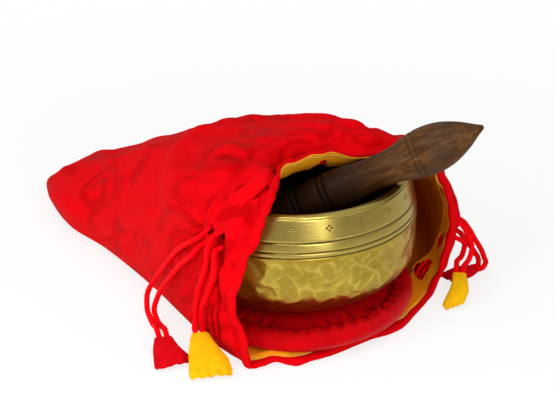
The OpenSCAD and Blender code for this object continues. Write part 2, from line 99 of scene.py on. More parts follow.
def path_through(points, step):
    """A smooth path through a list of points, with points about step apart."""
    p = np.asarray(points, float)
    along = run_along(p)
    n = max(8, int(along[-1] / step))
    at = np.linspace(0, along[-1], n)
    return np.stack([curve_through(along, p[:, c], at) for c in range(3)], axis=1)


# Shader arithmetic


class Num:
    """One number over a surface. Arithmetic on it adds Math nodes."""

    def __init__(self, tree, out):
        self.tree, self.out = tree, out

    def op(self, name, *others):
        node = self.tree.nodes.new("ShaderNodeMath")
        node.operation = name
        for i, v in enumerate((self, *others)):
            if isinstance(v, Num):
                self.tree.links.new(v.out, node.inputs[i])
            else:
                node.inputs[i].default_value = v
        return Num(self.tree, node.outputs[0])

    __add__ = partialmethod(op, "ADD")
    __sub__ = partialmethod(op, "SUBTRACT")
    __mul__ = partialmethod(op, "MULTIPLY")
    __truediv__ = partialmethod(op, "DIVIDE")
    max = partialmethod(op, "MAXIMUM")
    min = partialmethod(op, "MINIMUM")
    abs = partialmethod(op, "ABSOLUTE")
    fract = partialmethod(op, "FRACT")
    floor = partialmethod(op, "FLOOR")
    sin = partialmethod(op, "SINE")
    flip = partialmethod(op, "MULTIPLY_ADD", -1.0, 1.0)

    def hypot(self, b):
        return (self * self + b * b).op("SQRT")

    def angle(self, b):
        """The angle of the point (self, b)."""
        return b.op("ARCTAN2", self)

    def over(self, low, high):
        """0 below low, 1 above high, smooth between."""
        node = self.tree.nodes.new("ShaderNodeMapRange")
        node.interpolation_type = "SMOOTHSTEP"
        node.inputs["From Min"].default_value = low
        node.inputs["From Max"].default_value = high
        self.tree.links.new(self.out, node.inputs["Value"])
        return Num(self.tree, node.outputs["Result"])


def highest(numbers):
    """The largest of several numbers at each place."""
    return reduce(Num.max, numbers)


class Paint:
    """A Principled material, with the sources that its pattern is built from."""

    def __init__(self, name, **constants):
        self.material = bpy.data.materials.new(name)
        self.material.use_nodes = True
        self.tree = self.material.node_tree
        self.shader = self.tree.nodes["Principled BSDF"]
        for socket, value in constants.items():
            self.shader.inputs[socket.replace("_", " ")].default_value = value

    def tint(self, colour):
        """The colour of the shine of dyed cloth."""
        self.shader.inputs["Sheen Tint"].default_value = (*colour, 1.0)
        self.shader.inputs["Specular Tint"].default_value = (*colour, 1.0)

    def node(self, kind):
        return self.tree.nodes.new("ShaderNode" + kind)

    def num(self, out):
        return Num(self.tree, out)

    def coordinates(self, output):
        """Three numbers in millimetres: Object, or UV as laid flat."""
        split = self.node("SeparateXYZ")
        self.tree.links.new(self.node("TexCoord").outputs[output], split.inputs[0])
        return [self.num(out) * 1000.0 for out in split.outputs]

    def vector(self, x, y, z=0.0):
        join = self.node("CombineXYZ")
        for i, v in enumerate((x, y, z)):
            if isinstance(v, Num):
                self.tree.links.new(v.out, join.inputs[i])
            else:
                join.inputs[i].default_value = v
        return join.outputs[0]

    def attribute(self, name):
        """A number kept with the points of the mesh."""
        node = self.node("Attribute")
        node.attribute_name = name
        return self.num(node.outputs["Fac"])

    def noise(self, vector, scale, detail=2.0, rough=0.5):
        node = self.node("TexNoise")
        node.inputs["Scale"].default_value = scale
        node.inputs["Detail"].default_value = detail
        node.inputs["Roughness"].default_value = rough
        self.tree.links.new(vector, node.inputs["Vector"])
        return self.num(node.outputs["Fac"])

    def blend(self, factor, a, b):
        """A colour between a and b, each a colour or another blend."""
        node = self.node("Mix")
        node.data_type = "RGBA"
        self.tree.links.new(factor.out, node.inputs[0])
        for slot, v in ((6, a), (7, b)):
            if isinstance(v, tuple):
                node.inputs[slot].default_value = (*v, 1.0)
            else:
                self.tree.links.new(v, node.inputs[slot])
        return node.outputs[2]

    def drive(self, socket, value):
        out = value.out if isinstance(value, Num) else value
        self.tree.links.new(out, self.shader.inputs[socket])

    def bump(self, height, distance_mm, strength=1.0):
        node = self.node("Bump")
        node.inputs["Distance"].default_value = distance_mm * MM
        node.inputs["Strength"].default_value = strength
        self.tree.links.new(height.out, node.inputs["Height"])
        old = self.shader.inputs["Normal"].links
        if old:
            self.tree.links.new(old[0].from_socket, node.inputs["Normal"])
        self.tree.links.new(node.outputs[0], self.shader.inputs["Normal"])


# Mesh making


def add_piece(name, points, faces, paints, body, nodes=(), uv=None, face_paint=None):
    """A mesh piece that rides on a body. points are in millimetres, uv is one place per point."""
    mesh = bpy.data.meshes.new(name)
    mesh.from_pydata((np.asarray(points) * MM).tolist(), [], [list(f) for f in faces])
    for paint in paints:
        mesh.materials.append(paint.material)
    mesh.polygons.foreach_set("use_smooth", [True] * len(mesh.polygons))
    if face_paint is not None:
        mesh.polygons.foreach_set("material_index", [int(i) for i in face_paint])
    if uv is not None:
        layer = mesh.uv_layers.new(name="cloth")
        corner = np.empty(len(mesh.loops), np.int32)
        mesh.loops.foreach_get("vertex_index", corner)
        layer.data.foreach_set("uv", (np.asarray(uv)[corner] * MM).ravel())
    mesh.update()
    mesh.set_sharp_from_angle(angle=math.radians(70))
    piece = bpy.data.objects.new(name, mesh)
    bpy.context.scene.collection.objects.link(piece)
    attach(piece, body)
    if nodes:
        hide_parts(*nodes)
    return piece


def grid_quads(rows, cols, wrap=False):
    """Faces of a grid of points, rows first, closed round its columns where wrap is set."""
    k, j = np.meshgrid(np.arange(rows - 1), np.arange(cols if wrap else cols - 1), indexing="ij")
    n = (j + 1) % cols
    return np.stack([k * cols + j, k * cols + n, (k + 1) * cols + n, (k + 1) * cols + j], -1).reshape(-1, 4)


def tube_faces(rows, around):
    """Faces of a tube made of rings, with a flat face at each end."""
    last = (rows - 1) * around
    ends = [list(range(around - 1, -1, -1)), list(range(last, last + around))]
    return grid_quads(rows, around, wrap=True).tolist() + ends


def keep_with_points(piece, name, values):
    """A number that is kept with each point of a piece, for its material."""
    layer = piece.data.attributes.new(name, "FLOAT", "POINT")
    layer.data.foreach_set("value", values.ravel().astype(np.float32))


def cloth_solid(outer, inner, keep):
    """A sheet of cloth between two grids. A cell that keep leaves out is an opening with an edge."""
    rows, cols = outer.shape[:2]
    layer = rows * cols
    k, j = np.nonzero(keep)
    a = k * cols + j
    b, c, d = a + 1, a + cols + 1, a + cols
    faces = [np.stack([a, b, c, d], 1), np.stack([a, d, c, b], 1) + layer]
    padded = np.pad(keep, 1)
    sides = ((-1, 0, a, b), (1, 0, c, d), (0, -1, d, a), (0, 1, b, c))
    for dk, dj, p, q in sides:
        edge = ~padded[k + 1 + dk, j + 1 + dj]
        faces.append(np.stack([q[edge], p[edge], p[edge] + layer, q[edge] + layer], 1))
    return np.concatenate([outer.reshape(-1, 3), inner.reshape(-1, 3)]), np.concatenate(faces)


def frames_along(path):
    """Two directions square to a path at each point, turning as little as they can."""
    tangent = unit(np.gradient(path, axis=0))
    side = np.empty_like(path)
    s = np.array([0.3, 0.2, 1.0])
    for i, d in enumerate(tangent):
        s = s - d * (s @ d)
        s = s / max(np.linalg.norm(s), 1e-9)
        side[i] = s
    return side, np.cross(tangent, side)


def tube(path, radius, around):
    """A tube along a path. radius is a function of the length along it and the angle round it."""
    side, other = frames_along(path)
    along = run_along(path)
    angle = np.linspace(0, 2 * math.pi, around, endpoint=False)
    r = radius(along[:, None], angle[None, :])
    rings = path[:, None] + r[..., None] * (
        side[:, None] * np.cos(angle)[None, :, None] + other[:, None] * np.sin(angle)[None, :, None]
    )
    uv = np.stack(np.broadcast_arrays(along[:, None], angle[None, :] * CORD_D / 2), -1).reshape(-1, 2)
    return rings.reshape(-1, 3), tube_faces(len(path), around), uv


# Materials

RED_BRIGHT = (0.70, 0.0018, 0.0050)
RED_DEEP = (0.52, 0.0007, 0.0024)
RED_CORD = (0.93, 0.0024, 0.0062)
# Painted shade in the creases of the cloth
RED_CREASE_SHADE = (0.20, 0.0003, 0.0010)

# Brass: the hammered wall with its dishes, ridges that are lighter (partly polish, partly painted highlight), stains
# and a browner bottom, the turned band, and what is dark in its cuts
GOLD, GOLD_DEEP = (0.48, 0.35, 0.045), (0.365, 0.245, 0.027)
DISH_GOLD, RIDGE_POLISH_AND_HIGHLIGHT = (0.34, 0.235, 0.040), (0.78, 0.62, 0.14)
BAND_GOLD, BAND_DEEP = (0.48, 0.365, 0.090), (0.38, 0.28, 0.058)
STAIN, LOW_BROWN, SPECK_BROWN = (0.24, 0.155, 0.018), (0.18, 0.10, 0.016), (0.24, 0.16, 0.03)
CUT_DARK = (0.05, 0.033, 0.012)
# Inside the bowl: painted shade under the pouch, with some patina
INSIDE_GOLD_SHADED, INSIDE_DEEP_SHADED = (0.10, 0.07, 0.025), (0.035, 0.024, 0.010)
PUNCH_MARKS, PUNCH_DROP, PUNCH_REACH = 21, 6.2, 1.15

# Wood: its grain from dark to light, its pores, a painted highlight on the upper side of the head, worn places, painted
# shade on the inner end, and cuts
WOOD_DARK, WOOD_BROWN, WOOD_LIGHT = (0.034, 0.0115, 0.0030), (0.120, 0.048, 0.0125), (0.27, 0.128, 0.040)
WOOD_PORE, WOOD_HEAD_HIGHLIGHT, WOOD_WORN = (0.030, 0.014, 0.006), (0.21, 0.108, 0.045), (0.050, 0.031, 0.020)
WOOD_INNER_SHADE, WOOD_CUT = (0.007, 0.0016, 0.0004), (0.012, 0.006, 0.004)


def spiral(x, y, centre, reach, pitch, hand, width):
    """A scroll: a spiral band round a centre, inside its reach."""
    dx, dy = x - centre[0], y - centre[1]
    r = dx.hypot(dy)
    turn = (r / pitch + dx.angle(dy) * (hand / (2 * math.pi))).fract()
    band = (turn - 0.5).abs().over(width + 0.04, width - 0.12)
    return band * r.over(reach, reach - 3.0)


def leaf(x, y, centre, half, turn):
    """A pointed leaf, half its length and half its width, turned by an angle."""
    c, s = math.cos(turn), math.sin(turn)
    dx, dy = x - centre[0], y - centre[1]
    u = (dx * c + dy * s) / half[0]
    v = (dy * c - dx * s) / half[1]
    return (u * u + v.abs()).over(1.05, 0.65)


def brocade_pattern(paint, u, v):
    """Cloud scrolls on winding stems, in mirrored columns of a tile."""
    tile_u, tile_v = 84.0, 76.0
    place = paint.vector(u, v)
    x = u + (paint.noise(place, 0.017, 1.0) - 0.5) * 20.0 + (paint.noise(place, 0.08, 1.0) - 0.5) * 5.0
    y = v + (paint.noise(paint.vector(v, u), 0.019, 1.0) - 0.5) * 18.0
    row = (y / tile_v).floor()
    x = x + (row / 2.0).fract() * tile_u
    y = (y / tile_v).fract() * tile_v
    column = ((x / (2 * tile_u)).fract() - 0.5).abs() * (2 * tile_u)
    swing = (column * (3 * math.pi / tile_u) + math.pi / 2).sin() * 13.0
    stem = (y - 38.0 - swing).abs().over(3.8, 2.2)
    marks = [
        spiral(column, y, (25.0, 44.0), 20.0, 11.0, 1, 0.30),
        spiral(column, y, (60.0, 58.0), 14.0, 9.2, -1, 0.30),
        spiral(column, y, (63.0, 17.0), 13.0, 8.6, 1, 0.30),
        leaf(column, y, (40.0, 12.0), (12.0, 6.0), 0.5),
        leaf(column, y, (8.0, 14.0), (10.0, 6.0), 1.2),
        stem * 0.8,
    ]
    return highest(marks)


def weave(u, v, pitch):
    """Threads that cross, pitch apart."""
    turn = 2 * math.pi / pitch
    return (u * turn).sin() * 0.5 + (v * turn).sin() * 0.5


def crease_lines(paint, u, v, creases):
    """Narrow creases of the cloth: each from one place to another, and half its width. Gives where they lie, for their
    bump and painted shade.
    """
    lines = []
    u = u + (paint.noise(paint.vector(u, v), 0.12, 2.0) - 0.5) * 3.0
    for (u0, v0), (u1, v1), half in creases:
        du, dv = float(u1 - u0), float(v1 - v0)
        a, b = u - float(u0), v - float(v0)
        f = ((a * du + b * dv) / (du * du + dv * dv)).max(0.0).min(1.0)
        line = (a - f * du).hypot(b - f * dv).over(half, 0.15 * half)
        lines.append(line * (f * f.flip()).over(-0.02, 0.12))
    return highest(lines)


def brocade(name, bright, deep, pattern=True, creases=()):
    paint = Paint(name, Sheen_Weight=0.015, Sheen_Roughness=0.45, Specular_IOR_Level=0.03)
    paint.tint((1.0, 0.03, 0.04))
    u, v, _ = paint.coordinates("UV")
    slow = paint.noise(paint.vector(u, v), 0.05, 3.0)
    fine = paint.noise(paint.vector(u * 0.6, v), 1.5, 2.0)
    mark = brocade_pattern(paint, u, v) if pattern else slow * 0.3
    tone = mark * (slow * 0.8 + 0.35) + (slow - 0.5) * 0.5 + (fine - 0.5) * 0.75
    colour = paint.blend(tone.over(0.0, 1.0), bright, deep)
    # Painted shade in the creases, deeper where the crease attribute is higher
    colour = paint.blend(paint.attribute("crease") * 0.5, colour, RED_CREASE_SHADE)
    if creases:
        lines = crease_lines(paint, u, v, creases)
        # Painted shade along the narrow creases, with a bump for their shape
        colour = paint.blend(lines * 0.62, colour, RED_CREASE_SHADE)
        paint.bump(lines * -1.0, 1.6, 0.8)
    paint.drive("Base Color", colour)
    paint.drive("Roughness", mark * -0.08 + 0.72)
    paint.bump(weave(u, v, 0.9) + fine * 1.5, 0.2, 0.55)
    return paint


def satin(name, light, dark, rough, tint, deep=None):
    paint = Paint(name, Sheen_Weight=0.05, Sheen_Roughness=0.35, Specular_IOR_Level=0.22)
    paint.tint(tint)
    u, v, _ = paint.coordinates("UV")
    slow = paint.noise(paint.vector(u, v), 0.08, 3.0)
    streak = paint.noise(paint.vector(u * 0.12, v), 1.4, 2.0)
    colour = paint.blend((slow * 0.7 + streak * 0.3).over(0.25, 0.75), light, dark)
    # Deeper in from the edge the lining turns more orange: painted shade and red bounce light
    if deep:
        colour = paint.blend(v.over(3.0, 16.0), colour, deep)
    paint.drive("Base Color", colour)
    paint.drive("Roughness", streak * 0.16 + rough)
    paint.bump(streak + weave(u, v, 0.7) * 0.4, 0.06, 0.4)
    return paint


def cord_paint():
    paint = Paint("twisted_cord", Sheen_Weight=0.04, Sheen_Roughness=0.4, Roughness=0.6, Specular_IOR_Level=0.05)
    paint.tint((1.0, 0.05, 0.06))
    along, angle, _ = paint.coordinates("UV")
    ply = ((along / 5.5 + angle / (math.pi * CORD_D)) * (2 * math.pi * 3)).sin()
    fibre = paint.noise(paint.vector(along * 0.5, angle), 3.0, 2.0)
    paint.drive("Base Color", paint.blend((ply * 0.35 + fibre).over(0.1, 0.9), (0.72, 0.0014, 0.005), RED_CORD))
    paint.bump(fibre, 0.1, 0.5)
    return paint


def tab_paint(name, light, dark):
    paint = Paint(name, Sheen_Weight=0.10, Sheen_Roughness=0.45, Roughness=0.75, Specular_IOR_Level=0.05)
    paint.tint(light)
    u, v, _ = paint.coordinates("UV")
    slow = paint.noise(paint.vector(u, v), 0.16, 3.0)
    paint.drive("Base Color", paint.blend(slow.over(0.3, 0.75), light, dark))
    paint.bump(weave(u, v, 0.8) + paint.noise(paint.vector(u, v), 1.6, 2.0), 0.12, 0.5)
    return paint


def brass_paint():
    """Aged brass: a satin turned band with punch marks above, hammered and browner below."""
    paint = Paint("hammered_brass", Metallic=1.0)
    x, y, z = paint.coordinates("Object")
    place = paint.vector(x, y, z)
    blotch = paint.noise(place, 0.055, 4.0, 0.6)
    speck = paint.noise(place, 0.6, 3.0, 0.6)
    turned = paint.noise(paint.vector(x * 0.03, y * 0.03, z), 2.2, 3.0)
    band = z.over(RIM_Z - GROOVE_DROPS[2] - 1.0, RIM_Z - GROOVE_DROPS[2] + 1.0)
    turn = (x.angle(y) + math.pi / 2) * (PUNCH_MARKS / (2 * math.pi)) + 0.5
    side = ((turn.fract() - 0.5) * (2 * math.pi * RIM_R / PUNCH_MARKS)).abs()
    up = (z - (RIM_Z - PUNCH_DROP)).abs()
    dot = (side.max(up) - PUNCH_REACH).hypot(side.min(up)).over(0.66, 0.30)
    dot = dot * ((turn.floor() * 0.618 + 0.3).fract() * 0.5 + 0.55)
    line = highest([(z - (RIM_Z - drop)).abs().over(0.55, 0.18) for drop in GROOVE_DROPS])
    gold = paint.blend(blotch.over(0.35, 0.7), GOLD, GOLD_DEEP)
    ridge = paint.attribute("ridge")
    dish = paint.attribute("dish")
    gold = paint.blend(dish.over(0.75, 0.0) * (speck * 0.5 + 0.15), gold, DISH_GOLD)
    broken = paint.noise(place, 0.17, 3.0, 0.6).over(0.36, 0.62)
    # Lighter ridges: partly polish on the raised edges, partly painted highlight
    gold = paint.blend(ridge * broken * (speck * 0.7 + 0.15), gold, RIDGE_POLISH_AND_HIGHLIGHT)
    patina = paint.noise(place, 0.33, 3.0, 0.65)
    gold = paint.blend(patina.over(0.50, 0.70) * 0.4, gold, STAIN)
    pale = paint.blend(turned.over(0.2, 0.8), BAND_GOLD, BAND_DEEP)
    body = paint.blend(band, gold, pale)
    low = z.over(BASE_Z + 15.0, BASE_Z + 1.0) * (blotch * 0.5 + 0.2)
    body = paint.blend(low, body, LOW_BROWN)
    body = paint.blend(speck.over(0.62, 0.78) * 0.3, body, SPECK_BROWN)
    body = paint.blend(dot.max(line * 0.75), body, CUT_DARK)
    paint.drive("Base Color", body)
    paint.drive("Roughness", blotch * 0.12 + speck * 0.06 + band * -0.05 + 0.22)
    paint.bump(turned * band + speck * 0.3, 0.025, 0.5)
    paint.bump(dot * -1.0, 0.4, 0.6)
    return paint


def brass_inside_paint():
    paint = Paint("brass_inside_shade_and_patina", Metallic=1.0)
    x, y, z = paint.coordinates("Object")
    blotch = paint.noise(paint.vector(x, y, z), 0.07, 4.0, 0.6)
    # The dark inside is painted shade, with some patina
    paint.drive("Base Color", paint.blend(blotch.over(0.3, 0.75), INSIDE_GOLD_SHADED, INSIDE_DEEP_SHADED))
    paint.drive("Roughness", blotch * 0.2 + 0.4)
    paint.bump(blotch, 0.3, 0.4)
    return paint


def wood_paint():
    """Dark turned wood. The UV runs along the mallet and round it."""
    paint = Paint("turned_wood", Specular_IOR_Level=0.06)
    along, around, _ = paint.coordinates("UV")
    x, y, z = paint.coordinates("Object")
    ax, _, az = MALLET_AXIS
    depth = x * ax + z * az
    lift = x * az - z * ax
    drift = paint.noise(paint.vector(x * 0.06, y * 0.06, z * 0.06), 1.0, 2.0)
    ring = paint.noise(paint.vector(depth * 0.05, lift * 0.6, y * 0.6), 0.9, 4.0, 0.62)
    pore = paint.noise(paint.vector(depth * 0.12, lift * 1.8, y * 1.8), 1.6, 3.0, 0.7)
    grain = paint.noise(paint.vector(depth * 0.04, lift * 3.4, y * 3.4), 1.1, 3.0, 0.6)
    tone = ring * 0.5 + drift * 0.25 + grain * 0.25
    colour = paint.blend(tone.over(0.36, 0.62), WOOD_DARK, WOOD_BROWN)
    colour = paint.blend(tone.over(0.54, 0.74) * 0.75, colour, WOOD_LIGHT)
    colour = paint.blend(pore.over(0.54, 0.68) * 0.5, colour, WOOD_PORE)
    head = along.over(NECK_AT - 12.0, NECK_AT + 18.0)
    # Painted highlight: the upper side of the head is lighter, where the light falls on it
    upper = (lift - (MALLET_END[0] * az - MALLET_END[2] * ax)).over(7.0, -9.0)
    colour = paint.blend(head * upper * tone.over(0.34, 0.70) * 0.38, colour, WOOD_HEAD_HIGHLIGHT)
    worn = paint.noise(paint.vector(x, y, z), 0.045, 3.0, 0.6).over(0.40, 0.62)
    colour = paint.blend(head * worn * (grain * 0.5 + 0.35), colour, WOOD_WORN)
    # Painted shade: the inner end, in the bowl under the pouch, is made much darker
    inner = along.over(NECK_AT + 4.0, NECK_AT - 34.0)
    colour = paint.blend(inner * 0.88, colour, WOOD_INNER_SHADE)
    strengths = [(at, 1.0) for at in GRIP_LINES] + [(at, 0.4) for at in HEAD_LINES]
    rings = [(along - at).abs().over(0.8, 0.25) * strength for at, strength in strengths]
    span = (along - MALLET_SCORE_MID).abs().over(MALLET_SCORE_HALF, MALLET_SCORE_HALF - 1.0)
    scores = [(around - at).abs().over(0.6, 0.2) * span * 0.45 for at in MALLET_SCORES]
    cut = highest(rings + scores)
    colour = paint.blend(cut * 0.8, colour, WOOD_CUT)
    paint.drive("Base Color", colour)
    paint.drive("Roughness", ring * 0.25 + 0.34)
    paint.bump(pore * 0.6 + ring, 0.12, 0.5)
    paint.bump(cut * -1.0, 0.4, 0.6)
    return paint


# Bowl


def bowl_r(z):
    z = np.asarray(z, float)
    low = BELLY_LOW_R * np.sqrt(np.maximum(0, 1 - ((BELLY_Z - z) / BOWL_ROUND) ** 2))
    shoulder = RIM_Z - GROOVE_DROPS[0]
    heights = [BELLY_Z, BELLY_Z + 0.3 * (RIM_Z - BELLY_Z), RIM_Z - 1.4 * GROOVE_DROPS[0], shoulder, RIM_Z]
    radii = [BELLY_LOW_R, BELLY_R, BELLY_R, RIM_R + 0.75 * (BELLY_R - RIM_R), RIM_R]
    return np.where(z < BELLY_Z, low, curve_through(heights, radii, np.clip(z, BELLY_Z, RIM_Z)))


def dishes(angle, along, radius, size, seed):
    """Hammer marks: the share of the way from the middle of a mark to its edge, and how near a ridge is."""
    r = np.random.default_rng(seed)
    bend = 0.12 * size
    along = along + bend * (np.sin(9 * angle + 0.31 * along) + np.sin(23 * angle - 0.17 * along + 1))
    angle = angle + bend / radius * (np.sin(0.43 * along + 5 * angle) + np.sin(0.77 * along + 14 * angle + 2))
    rows = np.arange(along.min() - size, along.max() + size, 0.86 * size)
    count = int(2 * math.pi * radius / size)
    centres = []
    for n, row in enumerate(rows):
        a = (np.arange(count) + 0.5 * (n % 2)) * 2 * math.pi / count
        jitter = r.uniform(-0.5, 0.5, (count, 2))
        centres.append(np.stack([a * radius + jitter[:, 0] * size, row + jitter[:, 1] * size], 1))
    turn = 2 * math.pi * radius
    best = np.full(angle.shape, 1e9)
    second = best.copy()
    for cx, cy in np.concatenate(centres):
        dx = np.abs(angle * radius - cx) % turn
        away = np.hypot(np.minimum(dx, turn - dx), along - cy)
        second = np.minimum(second, np.maximum(best, away))
        best = np.minimum(best, away)
    return np.clip((best / (0.62 * size)) ** 2, 0, 1), 1 - smooth(second - best, 0.0, 2.2)


def make_bowl():
    around = 600
    dish, dish_depth = 9.4, 0.58
    grooves = [RIM_Z - drop for drop in GROOVE_DROPS[::-1]]
    base_r = BELLY_LOW_R * math.sqrt(1 - ((BELLY_Z - BASE_Z) / BOWL_ROUND) ** 2)
    flat = [(r, BASE_Z) for r in (0.01, 8, 16, 24, 32, base_r - 3)]
    lift = np.linspace(math.acos((BELLY_Z - BASE_Z) / BOWL_ROUND), math.pi / 2, 58)
    lower = [(BELLY_LOW_R * math.sin(a), BELLY_Z - BOWL_ROUND * math.cos(a)) for a in lift]
    heights = list(np.linspace(BELLY_Z + 0.7, grooves[0] - 1.2, 30))
    for g in grooves:
        heights += [g - 0.8, g - 0.45, g - 0.2, g, g + 0.2, g + 0.45, g + 0.8]
    heights += list(np.linspace(grooves[1] + 1.2, grooves[2] - 1.2, 4))
    heights = sorted(set(heights + list(np.linspace(grooves[2] + 1.5, RIM_Z - 1.3, 12))))
    upper = [(float(bowl_r(z)), z) for z in heights]
    lip = 1.2
    turn = np.linspace(0, math.pi / 2, 6)
    rim = [(RIM_R - lip * (1 - math.cos(a)), RIM_Z - lip * (1 - math.sin(a))) for a in turn]
    rim += [(RIM_R - LIP_T + lip * (1 - math.cos(a)), RIM_Z - lip * (1 - math.sin(a))) for a in turn[::-1]]
    down = np.linspace(RIM_Z - 1.5, BELLY_Z, 26)
    wall = BOWL_WALL + (LIP_T - BOWL_WALL) * np.clip((down - RIM_Z + 12) / 12, 0, 1)
    inside = [(float(bowl_r(z)) - w, z) for z, w in zip(down, wall)]
    floor_z = BASE_Z + BOWL_WALL
    sink = np.linspace(math.pi / 2, math.acos((BELLY_Z - floor_z) / (BOWL_ROUND - BOWL_WALL)), 30)[1:]
    hollow = [
        ((BELLY_LOW_R - BOWL_WALL) * math.sin(a), BELLY_Z - (BOWL_ROUND - BOWL_WALL) * math.cos(a)) for a in sink
    ]
    middle = [(r, floor_z) for r in (30, 22, 14, 7, 0.01)]
    outside = flat + lower + upper
    profile = np.array(outside + rim + inside + hollow + middle)
    angle = np.linspace(0, 2 * math.pi, around, endpoint=False)
    r = np.repeat(profile[:, 0][:, None], around, 1)
    z = np.repeat(profile[:, 1][:, None], around, 1)
    a = np.repeat(angle[None, :], len(profile), 0)
    n_out = len(outside)
    body = np.zeros_like(r)
    run = np.repeat(run_along(profile)[:, None], around, 1)
    marks, ridges = dishes(a[:n_out], run[:n_out], BELLY_R, dish, 3)
    reach = smooth(z[:n_out], BASE_Z + 0.5, BASE_Z + 4) * smooth(z[:n_out], grooves[0] - 0.8, grooves[0] - 4)
    body[:n_out] = -dish_depth * (1 - marks) * reach
    start = n_out + len(rim)
    inner, _ = dishes(a[start:], run[start:], BELLY_R - BOWL_WALL, 13.0, 5)
    body[start:] = 0.4 * (1 - inner) * smooth(z[start:], RIM_Z - 8, RIM_Z - 16) * smooth(z[start:], 17, 22)
    for g in grooves:
        near = np.abs(z[:n_out] - g)
        body[:n_out] -= GROOVE_DEPTH * np.clip(1 - near / (GROOVE_W / 2), 0, 1)
    r = r + body
    points = np.stack([r * np.cos(a), r * np.sin(a), z], -1).reshape(-1, 3)
    faces = grid_quads(len(profile), around, wrap=True)
    row = np.repeat(np.arange(len(profile) - 1), around)
    bowl = add_piece(
        "hammered_bowl", points, faces, [brass_paint(), brass_inside_paint()], "bowl", ["bowl"],
        # Faces inside take the paint with the painted shade
        face_paint=(row >= start + 2).astype(int),
    )
    # ridge is kept for the lighter ridges, partly polish and partly painted highlight
    for name, value in (("ridge", ridges), ("dish", marks)):
        kept = np.zeros_like(r)
        kept[:n_out] = value * reach if name == "ridge" else 1 - (1 - value) * reach
        keep_with_points(bowl, name, kept)


# Mallet

MALLET_FRONT = 19.5
MALLET_END = np.array([-55.13, -MALLET_FRONT, 35.1])
MALLET_AXIS = (0.9028, 0.0, 0.4301)
NECK_AT = 121.0
GRIP_LINES = [NECK_AT - 58, NECK_AT - 55, NECK_AT - 42, NECK_AT - 39]
HEAD_LINES = [NECK_AT + 9.5, NECK_AT + 12.5]
MALLET_SCORES = [-3.0, -0.8]
MALLET_SCORE_MID, MALLET_SCORE_HALF = NECK_AT + 11.0, 7.0


def make_mallet():
    around = 96
    head = [(39.9, 11.9), (30, 12.8), (20.4, 11.4), (14.4, 9.15), (9, 6.4), (4.3, 3.4), (0, 0.9)]
    places = [0, 5, 15, NECK_AT - 58, NECK_AT - 36, NECK_AT - 10, NECK_AT]
    places += [MALLET_LEN - back for back, _ in head]
    radii = [6.0, 7.9, 8.7, 9.5, 10.8, 8.9, 9.7] + [radius for _, radius in head]
    lines = [(m, 0.8, 1.0) for m in GRIP_LINES] + [(m, 0.35, 0.6) for m in HEAD_LINES]
    rings = [m + d * half for m, _, half in lines for d in (-1, -0.5, 0, 0.5, 1)]
    stops = np.array(sorted(set(list(np.linspace(0, MALLET_LEN, 150)) + rings)))
    r = curve_through(places, radii, stops)
    for m, deep, half in lines:
        r = r - deep * np.clip(1 - np.abs(stops - m) / half, 0, 1)
    axis = unit(np.array(MALLET_AXIS))
    up = unit(np.cross(axis, [0, 1.0, 0]))
    side = np.cross(axis, up)
    angle = np.linspace(0, 2 * math.pi, around, endpoint=False)
    wobble = 1 + 0.008 * np.sin(2 * angle[None, :] + stops[:, None] * 0.05)
    ring = (up[None] * np.cos(angle)[:, None] + side[None] * np.sin(angle)[:, None])[None]
    points = MALLET_END + axis * stops[:, None, None] + ring * (r[:, None] * wobble)[..., None]
    faces = tube_faces(len(stops), around)
    reach = (angle + math.pi) % (2 * math.pi) - math.pi
    uv = np.stack(np.broadcast_arrays(stops[:, None], (reach * 11.0)[None, :]), -1).reshape(-1, 2)
    add_piece("turned_mallet", points.reshape(-1, 3), faces, [wood_paint()], "mallet", ["mallet"], uv=uv)


# Cushion


def crumple(angle, radius, waves):
    """Sharp little folds of the satin, most of all where the bowl presses it at the front right."""
    sharp = sum(1 - 2 * np.abs(np.sin(n * angle + slope * (radius - 50) + at)) for n, slope, at in waves)
    return (0.5 + 0.9 * np.exp(-(((np.degrees(angle) - 312) / 34) ** 2))) * sharp / 3.2


